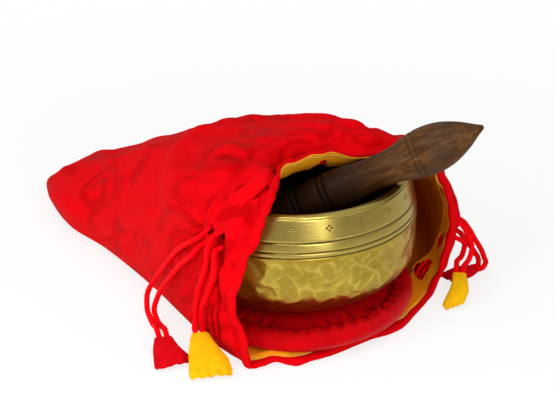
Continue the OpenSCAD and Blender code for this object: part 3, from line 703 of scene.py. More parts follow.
def cushion_form(inset):
    """A flat seat, a sewn valley with gathers round it, and a soft roll outside."""
    around, seed = 320, np.random.default_rng(4)
    angle = np.linspace(0, 2 * math.pi, around, endpoint=False)
    bearings = [0, 11, 40, 90, 180, 225, 248, 271, 289, 314, 340, 360]
    reach = [61.4, 61.0, 61.0, 62.0, 63.0, 67.5, 71.0, 72.0, 69.8, 65.8, 62.6, 61.4]
    edge = curve_through(np.radians(bearings), reach, angle) + 0.3 * np.sin(7 * angle)
    roll = 5.9 + 0.12 * (edge - 61)
    gathers = sum(
        seed.uniform(0.4, 1.0) * (1 - 2 * np.abs(np.sin(n * angle + seed.uniform(0, 6.28))))
        for n in (9, 13, 19, 23, 31)
    )
    gathers = gathers / 1.8 * (0.45 + 0.8 * np.exp(-(((np.degrees(angle) - 318) / 30) ** 2)))
    waves = [(seed.uniform(14, 34), seed.uniform(-0.9, 0.9), seed.uniform(0, 6.28)) for _ in range(7)]
    rows = []
    top = CUSHION_Z + 8.0
    for f in (0.002, 0.3, 0.55, 0.7):
        rows.append((f * 46 * np.ones(around), np.full(around, top)))
    for f in np.linspace(0, 1, 14):
        radius = 35 + 15 * f
        height = top + 1.4 * f * f * gathers - 1.6 * f * f + 0.9 * crumple(angle, radius, waves) * f**3
        rows.append((radius * np.ones(around), height))
    for f in np.linspace(0, 1, 34):
        bend = math.radians(150 - 240 * f)
        mid = edge - roll
        radius = mid + roll * math.cos(bend)
        height = CUSHION_Z + 5.2 + (5.2 if math.sin(bend) > 0 else 5.0) * math.sin(bend)
        fold = gathers * (0.9 * (1 - f) ** 2)
        press = crumple(angle, radius, waves) * 1.1 * float(smooth(f, 0.36, 0.16))
        rows.append((radius, height + fold * 0.8 + press))
    for f in (0.8, 0.5, 0.2, 0.002):
        rows.append((f * 46 * np.ones(around), np.full(around, CUSHION_Z + 0.2)))
    grid = np.stack(
        [np.stack([r * np.cos(angle) + CUSHION_AT[0], r * np.sin(angle) + CUSHION_AT[1], z], -1) for r, z in rows]
    )
    if inset:
        out = unit(np.cross(np.roll(grid, -1, 1) - np.roll(grid, 1, 1), np.gradient(grid, axis=0)))
        grid = grid + out * 1.1
    along = run_along(grid)
    uv = np.stack([along, np.broadcast_to(angle * 55.0, along.shape)], -1)
    return grid[::-1], uv[::-1]


def make_cushion():
    red = satin("cushion_satin", (0.58, 0.0016, 0.0050), (0.42, 0.0009, 0.0030), 0.34, (1.0, 0.05, 0.07))
    wadding = tab_paint("cotton_wadding", (0.86, 0.84, 0.78), (0.74, 0.72, 0.66))
    for name, inset, paint, node, slot in (
        ("satin_cushion", False, red, "cushion_cover", "cushion_satin"),
        ("cushion_wadding", True, wadding, "cushion_filling", "filling"),
    ):
        grid, uv = cushion_form(inset)
        faces = grid_quads(*grid.shape[:2], wrap=True)
        piece = add_piece(name, grid.reshape(-1, 3), faces, [paint], "pouch", [node], uv=uv.reshape(-1, 2))


# Pouch: the loft of the part's source, finer and with its folds

STATIONS = np.array(
    [
        [0.00, -24, -81, 71, 1, RIM_Z + 15, 0.02, 18, -25, 1, 14, 4.8, 6.0],
        [0.16, -46, -49, 78, 28, RIM_Z + 14, 0.03, 12, -24, 6, 5, 5.0, 3.8],
        [0.36, -76, 8, 79, 64, RIM_Z + 6, 0.05, 0, -10, 7, 1, 4.0, 2.4],
        [0.56, -104, 54, 72, 104, 66, 0.05, -2, -2, 6, 2, 2.8, 2.2],
        [0.76, -128, 86, 60, 140, 47, 0.05, -2, 0, 4, 2, 2.5, 2.3],
        [0.92, -141, 122, 50, 166, 30, 0.04, -1, 0, 2, 2, 2.3, 2.3],
        [1.00, -145, 143, 46, 180, 9, 0.00, 0, 0, 0, 0, 2.2, 2.2],
    ]
)
DRAW_PLAN = np.array([0.63, -0.776]) / np.linalg.norm([0.63, -0.776])
DRAW_SIDE = np.array([-DRAW_PLAN[1], DRAW_PLAN[0]])
DRAW_SLOPE, DRAPE_GAP, RIM_BERTH, TOP_BERTH = 0.03, 3.0, 2.6, 1.6
HALF = 120
AROUND = 2 * HALF
END_SEAM = 6.0
SHOULDER = (9.0, 21.0)


def clear_of_bowl(p):
    along, aside = p[..., :2] @ DRAW_PLAN, p[..., :2] @ DRAW_SIDE
    ahead = along > 0
    reach = np.where(ahead, np.abs(aside), np.hypot(along, aside))
    lift = np.where(ahead, DRAW_SLOPE * (along + BELLY_R), 0)
    top = RIM_Z + DRAPE_GAP + TOP_BERTH + lift
    z = p[..., 2]
    need = np.maximum(bowl_r(np.clip(z, BASE_Z, RIM_Z)), bowl_r(np.clip(z - lift, BASE_Z, RIM_Z)))
    need = need + DRAPE_GAP + RIM_BERTH * np.clip((z - RIM_Z + 18) / 12, 0, 1)
    free = (z >= top) | (z < BASE_Z - 3) | (reach >= need)
    lifted = ~free & (top - z < 0.9 * (need - reach))
    pushed = ~free & ~lifted
    ahead_xy = DRAW_PLAN * along[..., None] + DRAW_SIDE * (np.sign(aside) * need)[..., None]
    round_xy = p[..., :2] * (need / np.maximum(reach, 1e-6))[..., None]
    xy = np.where(pushed[..., None], np.where(ahead[..., None], ahead_xy, round_xy), p[..., :2])
    return np.concatenate([xy, np.where(lifted, top, z)[..., None]], -1)


def sections(t, half=240):
    """The closed outline at each place along the pouch: over the top from left to right, back below."""
    q = [curve_through(STATIONS[:, 0], STATIONS[:, c], t)[:, None] for c in range(1, 13)]
    left, right = np.concatenate(q[0:2], 1), np.concatenate(q[2:4], 1)
    width = np.linalg.norm(right - left, axis=1)[:, None]
    across = (right - left) / width
    out = np.stack([across[:, 1], -across[:, 0]], 1)
    i = np.arange(2 * half)[None, :]
    angle = math.pi * i / half
    c, s = np.cos(angle), np.abs(np.sin(angle))
    square = np.where(c > 0, q[10], q[11])
    near = np.sign(c) * np.abs(c) ** (2 / square)
    over = i <= half
    high = np.where(over, s ** (2 / square), s**0.4)
    swell = np.where(c > 0, -q[8], q[9])
    w = width / 2 * (1 - near) + np.where(over, swell * np.sin(math.pi * high) * np.abs(near), 0)
    z_top = TURN_H + (q[4] * (1 + q[5] * near) - TURN_H) * high
    z = np.where(over, z_top, TURN_H * np.maximum(0, 1 - 1.25 * high))
    lean = q[7] * np.where(c > 0, (1 - near**2) ** 2, 1 - near**4)
    a = np.where(over, lean, q[6] * (1 - near**2))
    plan = left[:, None] + across[:, None] * w[..., None] + out[:, None] * a[..., None]
    p = np.concatenate([plan, z[..., None]], -1)
    return np.where(over[..., None], clear_of_bowl(p), p)


def pouch_grid(t):
    """Points of the outer face: rows along the pouch, columns round it from the left seam over the top."""
    fine = sections(t)
    n = fine.shape[1]
    climb = np.clip((0.585 - t) / 0.45, 0, 1)
    rows = []
    for p, k in zip(fine, range(len(t))):
        run = np.concatenate([[0], np.cumsum(np.linalg.norm(np.diff(p, axis=0, append=p[:1]), axis=1))])
        corner, total = run[n // 2], run[-1]
        left, right = 65.1 * climb[k], corner - 37.2 * climb[k]
        top = np.linspace(left, right, HALF, endpoint=False)
        under = np.linspace(right, total + left, HALF, endpoint=False)
        at = np.concatenate([top, under]) % total
        closed = np.concatenate([p, p[:1]])
        ring = np.stack([np.interp(at, run, closed[:, c]) for c in range(3)], 1)
        aside = under - right
        turn_in = np.interp(aside, [9.3, 27.9, 37.2, 48.7, 60.2, 83.0, 95.0], [0, 0.5, 1, 1, 0.75, 0.2, 0])
        turn_in = turn_in * np.interp(t[k], [0.035, 0.12, 0.19, 0.25], [0, 4, 1.2, 0]) * 2.1
        ring[HALF:] += turn_in[:, None] * np.array([-0.94, 0.33, 0])
        rows.append(ring)
    return np.array(rows)


def end_rows(ring):
    """The closed end: from the last outline to one straight seam behind it."""
    left, right = STATIONS[-1, 1:3], STATIONS[-1, 3:5]
    across = unit(right - left)
    back = np.array([-across[1], across[0]])
    j = np.arange(AROUND)
    f = np.where(j <= HALF, j / HALF, 2 - j / HALF)
    bend = END_SEAM * np.sin(math.pi * np.clip(f, 0.002, 0.998)) ** 0.45
    seam = left + (right - left) * f[:, None] + back * bend[:, None]
    seam = np.concatenate([seam, np.full((AROUND, 1), TURN_H)], 1)
    return np.stack([ring * (1 - f) + seam * f for f in (0.35, 0.7, 1.0)])


def rounded_end(grid):
    """The two far corners are turned round."""
    left, right = STATIONS[-1, 1:3], STATIONS[-1, 3:5]
    wide = np.linalg.norm(right - left)
    across = (right - left) / wide
    back = np.array([-across[1], across[0]])
    plan = grid[..., :2] - left - back * END_SEAM
    a, b = plan @ across, -(plan @ back)
    for side, radius in ((0.0, 20.0), (wide, 16.0)):
        toward = 1 if side == 0 else -1
        dx, dy = radius - toward * (a - side), radius - b
        far = np.hypot(np.maximum(dx, 1e-6), np.maximum(dy, 1e-6))
        pull = np.where((dx > 0) & (dy > 0) & (far > radius), radius / far, 1.0)
        a = np.where(pull < 1, side + toward * (radius - dx * pull), a)
        b = np.where(pull < 1, radius - dy * pull, b)
    xy = left + back * END_SEAM + a[..., None] * across - b[..., None] * back
    return np.concatenate([xy, grid[..., 2:]], -1)


def normals_of(grid):
    across = np.roll(grid, -1, 1) - np.roll(grid, 1, 1)
    along = np.gradient(grid, axis=0)
    n = unit(np.cross(across, along))
    for _ in range(3):
        n = unit(n + 0.5 * (np.roll(n, 1, 1) + np.roll(n, -1, 1)))
    return n


# How the mouth hangs: shifts of its edge in picture points, to the right and down, by column
MOUTH_SHIFT = np.array(
    [
        [0, 12, 0], [6, 13, 0], [12, 8, 0], [18, 8, 0], [24, 6, 0], [30, 3, -2], [36, -2, -3], [42, 0, -2], [48, 0, -1],
        [54, 0, 0], [60, 0, 3], [66, 0, 11], [72, 0, 12], [78, 0, 8], [84, 0, 3], [90, 0, 0], [96, 0, 0], [102, 0, 0],
        [108, 3, 0], [114, 8, 0], [120, 9, 0], [126, 10, 0], [132, 10, 0], [138, 10, 0], [144, 5, 2], [150, 2, 4],
        [156, 2, 6], [162, 0, 4], [168, 0, 0], [174, 0, -1], [180, 0, 0], [186, 0, 1], [192, 0, 3], [198, 0, -2],
        [204, 0, 0], [210, 3, 0], [216, -1, 0], [222, -7, 0], [228, -7, 0], [234, 1, 0], [240, 12, 0],
    ],
    float,
)
POINT_MM, VIEW_UP, VIEW_IN = 0.5227, 0.9063, 0.4226
CAMERA_AT, CAMERA_TILT, CAMERA_LENS = np.array([-7.475, -1096.4, 564.2]), math.radians(65), 148.92
PICTURE = np.array([555.0, 416.0])

# Folds of the left side and the closed end: from and to in picture points, half width there and height
SEEN_FOLDS = [
    ((241, 228), (243, 256), 12.0, 4.4), ((224, 238), (225, 264), 3.6, -3.6), ((233, 272), (231, 287), 7.0, 3.0),
    ((221, 279), (223, 300), 3.2, -3.4), ((234, 297), (236, 322), 5.5, 2.0), ((208, 303), (214, 340), 1.8, 1.5),
    ((213, 300), (219, 343), 1.8, 1.6), ((218, 304), (224, 346), 1.8, 1.5), ((223, 308), (229, 349), 1.8, 1.3),
    ((203, 220), (172, 206), 4.5, 2.0), ((212, 216), (222, 196), 3.2, 1.9), ((196, 232), (160, 240), 5.0, 1.7),
    ((200, 262), (168, 284), 6.0, 1.6), ((186, 290), (166, 303), 4.5, 1.3), ((120, 182), (160, 162), 4.0, -1.5),
    ((87, 195), (126, 182), 6.0, 1.8), ((70, 174), (104, 161), 5.0, 1.5), ((112, 228), (150, 214), 7.0, 1.6),
    ((150, 262), (176, 240), 6.0, 1.6), ((60, 196), (84, 216), 6.0, 1.6), ((236, 150), (204, 158), 5.0, 1.4),
]


# Narrow creases there, given a bump and painted shade: from and to in picture points, half width in millimetres
SEEN_CREASES = [
    ((224, 237), (225, 264), 1.9), ((221, 279), (223, 300), 1.7), ((206, 304), (211, 336), 0.9),
    ((210, 301), (216, 340), 1.0), ((215, 302), (221, 344), 1.0), ((220, 306), (226, 348), 0.9),
    ((226, 300), (236, 308), 1.0),
]
# Drag folds of the side away from the camera: place and column from and to, half width in columns, height
BACK_FOLDS = [
    (0.30, 102, 0.52, 88, 2.4, 1.9), (0.36, 76, 0.72, 72, 2.8, 2.2), (0.42, 86, 0.82, 97, 3.2, 2.5),
    (0.48, 98, 0.70, 111, 2.6, 2.1), (0.62, 74, 0.96, 82, 3.0, 2.0), (0.78, 90, 0.97, 86, 2.4, 1.8),
    (0.82, 102, 0.98, 106, 2.4, 1.8), (0.24, 84, 0.40, 78, 2.2, 1.6), (0.55, 108, 0.86, 114, 2.2, 1.5),
]


def hung_mouth(t, grid):
    """The edge of the mouth sags over the mallet, flares on the left shoulder and swings at its sides."""
    j = np.arange(AROUND)
    shift = np.stack([np.interp(j, MOUTH_SHIFT[:, 0], MOUTH_SHIFT[:, c]) for c in (1, 2)], 1) * POINT_MM
    for _ in range(4):
        shift = 0.5 * shift + 0.25 * (np.roll(shift, 1, 0) + np.roll(shift, -1, 0))
    near = (1 - smooth(t, 0.0, 0.17))[:, None]
    on_floor = smooth(grid[..., 2], 5, 2)
    moved = grid.copy()
    moved[..., 0] += near * shift[:, 0]
    moved[..., 1] -= near * shift[:, 1] * on_floor / VIEW_IN
    moved[..., 2] -= near * shift[:, 1] * (1 - on_floor) / VIEW_UP
    dip = np.sin(math.pi * np.clip(t / 0.115, 0, 1))[:, None] ** 1.3
    shoulder = smooth(j, 24, 38) * smooth(j, 78, 60)
    moved[..., 2] -= 11.0 * dip * shoulder
    slump = smooth(t, 0.05, 0.14) * smooth(t, 0.50, 0.36)
    moved[..., 2] -= 3.0 * slump[:, None] * smooth(j, 68, 84) * smooth(j, 112, 100)
    return moved


def seen(points):
    """Where the camera of the picture sees points, in its picture points."""
    d = points - CAMERA_AT
    c, s = math.cos(CAMERA_TILT), math.sin(CAMERA_TILT)
    scale = CAMERA_LENS / 36.0 * PICTURE[0] / (d[..., 1] * s - d[..., 2] * c)
    return PICTURE[0] / 2 + scale * d[..., 0], PICTURE[1] / 2 - scale * (d[..., 1] * c + d[..., 2] * s)


def seen_folds(grid):
    x, y = seen(grid)
    j = np.arange(AROUND)
    out = np.zeros(x.shape)
    for (x0, y0), (x1, y1), half, tall in SEEN_FOLDS:
        dx, dy = x1 - x0, y1 - y0
        f = np.clip(((x - x0) * dx + (y - y0) * dy) / (dx * dx + dy * dy), 0, 1)
        away = np.hypot(x - x0 - f * dx, y - y0 - f * dy)
        out += tall * np.exp(-((away / half) ** 2))
    return out * np.maximum(smooth(j, 76, 60), smooth(j, 196, 206))


def flat_creases(outer, normal, uv):
    """Where the narrow creases lie on a panel that is laid flat."""
    x, y = seen(outer)
    facing = ((CAMERA_AT - outer) * normal).sum(-1) > 0
    found = []
    for start, stop, half in SEEN_CREASES:
        away = [np.where(facing, np.hypot(x - a, y - b), 1e9) for a, b in (start, stop)]
        if max(d.min() for d in away) < 2.5:
            ends = [uv[np.unravel_index(d.argmin(), d.shape)] for d in away]
            found.append((ends[0], ends[1], half))
    return found


def back_folds(t):
    j = np.arange(AROUND)[None, :]
    place = t[:, None]
    out = np.zeros((len(t), AROUND))
    for t0, j0, t1, j1, half, tall in BACK_FOLDS:
        f = (place - t0) / (t1 - t0)
        shape = np.exp(-(((j - j0 - (j1 - j0) * f) / half) ** 2))
        out += tall * shape * smooth(f, -0.15, 0.25) * smooth(f, 1.1, 0.7)
    return out * smooth(j, 64, 72)


def folds(t, grid):
    """How far the cloth stands out in folds: gathers at the mouth, soft waves, creases at the closed end."""
    r = np.random.default_rng(21)
    step = np.linalg.norm(np.roll(grid, -1, 1) - grid, axis=2)
    run = np.concatenate([np.zeros((len(grid), 1)), np.cumsum(step, 1)[:, :-1]], 1)
    place = t[:, None]
    high = smooth(grid[..., 2], 3, 16)
    out = np.zeros(run.shape)
    length = run[len(run) // 3].max() + 8
    at = 3.0
    while at < length:
        wide = r.uniform(3.2, 6.0)
        fade = r.uniform(0.10, 0.40)
        drift = r.uniform(-80, 60)
        centre = at + drift * np.maximum(place - 0.05, 0)
        shape = np.exp(-(((run - centre) / (wide * (1 + 2.0 * place))) ** 2))
        tall = r.uniform(1.4, 3.4)
        out += tall * shape * smooth(place, 0.115, 0.16) * smooth(place, fade + 0.16, 0.15)
        out += 0.45 * tall * shape * smooth(place, 0.135, 0.115) * smooth(place, 0.02, 0.04)
        out += r.uniform(0.3, 1.6) * shape * smooth(place, 0.035, 0.0)
        at += wide * r.uniform(1.9, 2.8)
    wave = 0.5 * np.sin(np.radians(3.5 * run + 516 * place))
    wave = wave + 0.3 * np.sin(np.radians(6.5 * run - 745 * place + 115))
    out += WAVE_H * (wave + 0.8) * smooth(place, 0.25, 0.45) * smooth(place, 1.0, 0.85)
    ripple = np.sin(run * 0.33 + 21 * place + 1.6 * np.sin(run * 0.05)) * np.sin(run * 0.047 - 7 * place)
    out += 0.4 * (ripple + 1) * smooth(place, 0.14, 0.25) * smooth(place, 1.0, 0.8)
    for _ in range(7):
        middle, tilt = r.uniform([0.3, 10], [0.9, 150]), r.uniform(-260, 260)
        away = run - middle[1] - tilt * (place - middle[0])
        crease = np.exp(-((away / r.uniform(3.5, 6)) ** 2)) * np.exp(-(((place - middle[0]) / 0.13) ** 2))
        out += r.uniform(0.8, 1.7) * crease
    for seam in (0.0, run[:, HALF][:, None], run[:, -1:] + step[:, -1:]):
        lips = np.exp(-(((run - seam) / 6.0) ** 2)) * smooth(place, 0.02, 0.05) * smooth(place, 0.15, 0.11)
        out += 1.7 * lips
    fan = np.maximum(0, np.sin(run * 0.21 + 34 * place)) ** 2
    j = np.arange(AROUND)
    fan_side = np.maximum(smooth(run, 130, 20), 0.8 * smooth(j, 66, 74))
    out += 1.3 * fan * smooth(place, 0.72, 0.85) * smooth(place, 1.0, 0.93) * fan_side
    calm = 1 - 0.85 * smooth(j, 74, 84) * smooth(j, 112, 104) * smooth(place, 0.13, 0.15)
    return (out * calm + seen_folds(grid) + back_folds(t)) * high


def make_pouch():
    t = np.concatenate(
        [np.linspace(0, 0.03, 9), np.linspace(0.03, 0.14, 34)[1:], np.linspace(0.14, 0.4, 56)[1:],
         np.linspace(0.4, 1, 84)[1:]]
    )
    grid = pouch_grid(t)
    for _ in range(3):
        grid = 0.5 * grid + 0.25 * (np.roll(grid, 1, 1) + np.roll(grid, -1, 1))
    grid = hung_mouth(t, grid)
    grid = np.concatenate([grid, end_rows(grid[-1])])
    tail = len(t) - 50
    grid[tail:] = rounded_end(grid[tail:])
    t_all = np.concatenate([t, [1.0, 1.0, 1.0]])
    normal = normals_of(grid)
    out = folds(t_all, grid)
    lip = np.exp(-((t_all / 0.045) ** 2))[:, None] * smooth(grid[..., 2], 6, 2)
    ripple = 0.5 + 0.5 * np.cos((grid[..., 0] + 9.0) * 2 * math.pi / 23.0)
    grid = grid + np.array([0, 0, 1.0]) * (2.6 * lip * ripple * smooth(grid[..., 0], 20, 5))[..., None]
    stands = np.clip((grid[..., 2] - 6) / 8, 0, 1)
    tunnel = (smooth(t_all, 0.018, 0.037) * smooth(t_all, 0.138, 0.118))[:, None]
    j = np.arange(AROUND)
    bare = smooth(j, SHOULDER[0] - 2, SHOULDER[0] + 2) * smooth(j, SHOULDER[1] + 2, SHOULDER[1] - 2)
    tunnel = tunnel * (1 - 0.7 * bare)
    tunnel_in = smooth(t_all, 0.012, 0.030)[:, None] * smooth(t_all, 0.145, 0.125)[:, None]
    layers = {
        "brocade": out + CASING_H * tunnel * stands,
        "facing": out - CLOTH_T - CASING_H * tunnel_in * (1 - stands) + 0.02,
        "lining": out - CLOTH_T - LAYER_GAP - CASING_H * tunnel_in * (1 - stands),
        "cord": out + CASING_H * stands - CLOTH_T - CORD_GAP - CORD_D / 2 + 1.2 * bare,
    }
    return t_all, grid, normal, layers


pouch_t, pouch, pouch_normal, pouch_layers = make_pouch()


def creases():
    """How far the cloth lies below its surroundings, from 0 on a fold to 1 in a deep crease; this drives the painted
    shade in the creases.
    """
    relief = pouch_layers["brocade"]
    wide = relief.copy()
    for _ in range(14):
        wide = 0.5 * wide + 0.25 * (np.roll(wide, 1, 1) + np.roll(wide, -1, 1))
        wide[1:-1] = 0.5 * wide[1:-1] + 0.25 * (wide[2:] + wide[:-2])
    return smooth(wide - relief, 0.25, 1.4) * smooth(pouch_t, 0.42, 0.24)[:, None]


pouch_crease_shade = creases()


LAYER_FLOOR = {"brocade": 0.0, "facing": CLOTH_T, "lining": CLOTH_T + LAYER_GAP, "cord": CLOTH_T + CORD_D / 2}


def at_layer(name, inset=0.0):
    points = pouch + pouch_normal * (pouch_layers[name] - inset)[..., None]
    points[..., 2] = np.maximum(points[..., 2], LAYER_FLOOR[name] + inset)
    return points


def panel_columns(first):
    return np.arange(first, first + HALF + 1) % AROUND


def lens(spots):
    """Cells of a panel that are kept: all but oval openings, each a column, a place and its two halves."""
    j = np.arange(HALF)[None, :] + 0.5
    t = (0.5 * (pouch_t[:-1] + pouch_t[1:]))[:, None]
    keep = np.ones((len(pouch_t) - 1, HALF), bool)
    for column, place, half_column, half_place in spots:
        away = ((j - column) / half_column) ** 2 + ((t - place) / half_place) ** 2
        keep &= away > 1
    return keep


def bunch_place(j):
    """Where the cords run together on the left shoulder, by column, and how far they are together."""
    return np.interp(j, [4, 10, 20, 28], [0.0775, 0.078, 0.048, 0.0775]), smooth(j, 4, 10) * smooth(j, 28, 21)


def bare_run():
    """Cells of the top panel that are open over the bunched cords, with a slit beside them."""
    j = np.arange(HALF) + 0.5
    middle, _ = bunch_place(j)
    away = (0.5 * (pouch_t[:-1] + pouch_t[1:]))[:, None] - middle
    low = 0.018 + 0.012 * smooth(j, 12, 17)
    return ~((j > SHOULDER[0]) & (j < SHOULDER[1]) & (away > -low) & (away < 0.018))


def make_panels():
    red = brocade("red_facing", RED_BRIGHT, RED_DEEP)
    # The last colour of the lining is painted shade and red bounce light, deeper in from the mouth
    yellow = satin(
        "yellow_lining", (0.95, 0.40, 0.012), (0.88, 0.32, 0.008), 0.45, (1.0, 0.5, 0.06), (0.97, 0.30, 0.008)
    )
    made = []
    exits = [(j, place, 1.6, half) for j in (0, HALF) for place, half in ((0.066, 0.011), (0.106, 0.011))]
    top_keep = lens(exits) & bare_run()
    lining_keep = lens([(55.5, 0.055, 3.6, 0.036), (112.5, 0.095, 3.2, 0.026)])
    floor_keep = lens([(8.5, 0.095, 2.2, 0.022), (17.5, 0.092, 4.0, 0.028)])
    plans = (
        ("brocade_top", "brocade", 0, CLOTH_T, red, "pouch_top_panel", top_keep),
        ("brocade_base", "brocade", HALF, CLOTH_T, red, "pouch_base_panel", lens(exits)),
        ("lining_top", "lining", 0, LINING_T, yellow, "lining_top_panel", lining_keep),
        ("lining_base", "lining", HALF, LINING_T, yellow, "lining_base_panel", floor_keep),
        ("casing_facing_top", "facing", 0, 0.18, red, None, lining_keep),
        ("casing_facing_base", "facing", HALF, 0.18, red, None, floor_keep),
    )
    for name, layer, first, thick, paint, node, keep in plans:
        columns = panel_columns(first)
        outer, inner = at_layer(layer)[:, columns], at_layer(layer, thick)[:, columns]
        if layer != "brocade":
            keep = keep & (np.arange(len(keep)) < len(keep) - 3)[:, None]
        if layer == "facing":
            keep = keep & ((pouch_t[:-1] > 0.008) & (pouch_t[1:] < 0.135))[:, None]
        points, faces = cloth_solid(outer, inner, keep)
        across = run_along(outer.swapaxes(0, 1)).T
        across = across - across[:, HALF // 2][:, None]
        along = run_along(outer[:, HALF // 2])
        uv = np.stack([across, np.broadcast_to(along[:, None], across.shape)], -1)
        if layer == "brocade":
            lines = flat_creases(outer, pouch_normal[:, columns], uv)
            paint = brocade(name, RED_BRIGHT, RED_DEEP, creases=lines)
        nodes = [node] if node else ()
        uv = np.tile(uv.reshape(-1, 2), (2, 1))
        piece = add_piece(name, points, faces, [paint], "pouch", nodes, uv=uv)
        # The crease depth kept with the points drives the painted shade in the creases
        keep_with_points(piece, "crease", np.tile(pouch_crease_shade[:, columns].ravel(), 2))
        if node:
            made.append((piece, outer))
    return made


make_panels()


def loop_band(centre, along, across, half_along, half_across, around=10):
    """A flat band round a closed line, oval in section."""
    angle = np.linspace(0, 2 * math.pi, around, endpoint=False)
    points = (
        centre[:, None]
        + along[:, None] * (half_along[:, None] * np.cos(angle)[None])[..., None]
        + across[:, None] * (half_across[:, None] * np.sin(angle)[None])[..., None]
    )
    rows = np.concatenate([points, points[:1]])
    n = len(points) * around
    return points.reshape(-1, 3), grid_quads(len(rows), around, wrap=True) % n


def make_hem():
    """The turned edge of the mouth and the thin piping inside it."""
    edge, inward = pouch[0], unit(pouch[7] - pouch[0])
    normal = pouch_normal[0]
    out = pouch_layers["brocade"][0][:, None]
    n = np.arange(AROUND)
    pucker = 1 + 0.13 * np.sin(n * 1.13) + 0.10 * np.sin(n * 0.47 + 1)
    plump = 1 + 0.12 * np.sin(n * 0.91 + 2) + 0.08 * np.sin(n * 0.37)
    wrap = (1 - 0.6 * smooth(n, 24, 32) * smooth(n, 90, 74))[:, None]
    middle = edge + normal * (out + 0.25 - wrap) + inward * 1.5 * wrap
    middle[:, 2] = np.maximum(middle[:, 2], 2.2)
    wide, thick = 3.0 * pucker * wrap[:, 0], 1.8 * plump * (0.3 + 0.7 * wrap[:, 0])
    points, faces = loop_band(middle, inward, normal, wide, thick, 14)
    run = run_along(middle)
    uv = np.stack(np.broadcast_arrays(run[:, None], np.linspace(0, 9, 14)[None]), -1).reshape(-1, 2)
    plain = brocade("hem_brocade", RED_BRIGHT, RED_DEEP, pattern=False)
    add_piece("mouth_hem", points, faces, [plain], "pouch", uv=uv)
    line = middle + inward * (2.9 * pucker)[:, None] * wrap - normal * (1.0 + 0.4 * wrap)
    points, faces = loop_band(line, inward, normal, 0.5 + 0 * pucker, 0.5 + 0 * pucker, 8)
    uv = np.stack(np.broadcast_arrays(run[:, None], np.linspace(0, 3, 8)[None]), -1).reshape(-1, 2)
    cord = tab_paint("piping_cord", (0.95, 0.50, 0.10), (0.85, 0.38, 0.05))
    add_piece("mouth_piping", points, faces, [cord], "pouch", uv=uv)


make_hem()


# Drawstrings

# Tabs: where the cords go in, tilt and turn in degrees, and length
TABS = {
    "left_red": ((-66, -60, 8), 15, 13, 22),
    "left_yellow": ((-47, -65, 13), 21.5, 11, 29),
    "right_red": ((100, 30, 2.4), 0, -53, 20),
    "right_yellow": ((90, 3, 13), 27, -8, 24),
}
ROUTES = {
    "left_red_end_a": [(-46.2, -62.2, 66), (-51, -57, 61), (-57, -48, 53), (-62, -38, 43), (-67, -29, 32),
                       (-72, -21, 21), (-76, -18, 12), (-76, -25, 7), (-73, -37, 5)],
    "left_red_end_b": [(-47, -63.2, 61), (-51, -61, 55), (-56, -53, 47), (-61, -45, 37), (-66, -36, 26),
                       (-70, -30, 16), (-72, -30, 9), (-70, -38, 6), (-67, -47, 7)],
    "left_yellow_end_a": [(-40, -70, 70), (-42, -71, 64), (-43, -70, 55), (-45, -68, 46), (-47, -65, 39),
                          (-48, -63, 32), (-49, -61, 25), (-49, -60, 19)],
    "left_yellow_end_b": [(-39, -72, 63), (-39, -75, 58), (-39, -75, 51), (-41, -73, 44), (-43, -70, 37),
                          (-45, -67, 30), (-46, -63, 24), (-46, -61, 18)],
    "right_red_end_a": [(87, 21, 38), (91, 22, 36), (96, 25, 29), (100, 28, 21), (104, 31, 13), (106, 34, 7),
                        (107, 35, 4)],
    "right_red_end_b": [(86, 22, 30), (90, 24, 28), (94, 28, 22), (98, 32, 15), (101, 36, 9), (103, 37, 5)],
    "right_yellow_end_a": [(87, 15, 38), (91, 15, 36), (95, 14, 30), (97, 13, 23), (95, 10, 17)],
    "right_yellow_end_b": [(86, 14, 30), (89, 15, 28), (93.5, 19, 22.5), (92, 16, 17), (89, 11, 16)],
}
# Cut of a tab: width at its full part, half width at the cords, lean, slant of the lower edge, where its right
# side is full, how wavy its lower edge is, how far its left corner is turned up, and how plump it is.
TAB_CUT = {
    "left_red": (20.0, 4.5, 3.0, 0.06, 0.72, 0.6, 0.0, 1.0),
    "left_yellow": (23.0, 4.5, 3.0, 0.0, 0.62, 0.8, 0.0, 1.0),
    "right_red": (13.0, 4.5, -1.0, 0.0, 0.8, 1.0, 0.0, 1.7),
    "right_yellow": (12.0, 3.5, -4.0, 0.12, 0.55, 0.4, 0.16, 1.2),
}
ENTRY_ASIDE, ENTRY_RUN = 2.0, 5.0
SIDE_OF_END = {"left": {"a": -1, "b": 1}, "right": {"a": 1, "b": -1}}
SLOT = {"right_yellow": 0, "left_yellow": 1, "right_red": 2, "left_red": 3}


def tab_frame(form):
    (x, y, z), tilt, turn, _ = form
    a, b = math.radians(tilt), math.radians(turn)
    down = np.array([math.sin(b) * math.cos(a), -math.cos(b) * math.cos(a), -math.sin(a)])
    across = np.array([math.cos(b), math.sin(b), 0.0])
    return np.array([x, y, z], float), down, across, np.cross(across, -down)


def twisted(along, angle):
    """Radius of a cord laid from three strands."""
    lobe = np.abs(np.cos(1.5 * (angle - 2 * math.pi * along / 7.5)))
    return CORD_D / 2 * (0.90 + 0.22 * lobe**0.7)


def untwisted(along, angle):
    """Radius of a free end, which is slacker and so a little thicker."""
    return twisted(along, angle) * (1 + 0.15 * smooth(along, 2, 10))


def route_of(name):
    side, colour, _, end = name.split("_")
    form = TABS[f"{side}_{colour}"]
    origin, down, across, _ = tab_frame(form)
    entry = origin + across * ENTRY_ASIDE * SIDE_OF_END[side][end]
    return path_through(ROUTES[name] + [tuple(entry - down * ENTRY_RUN), tuple(entry)], 0.6)


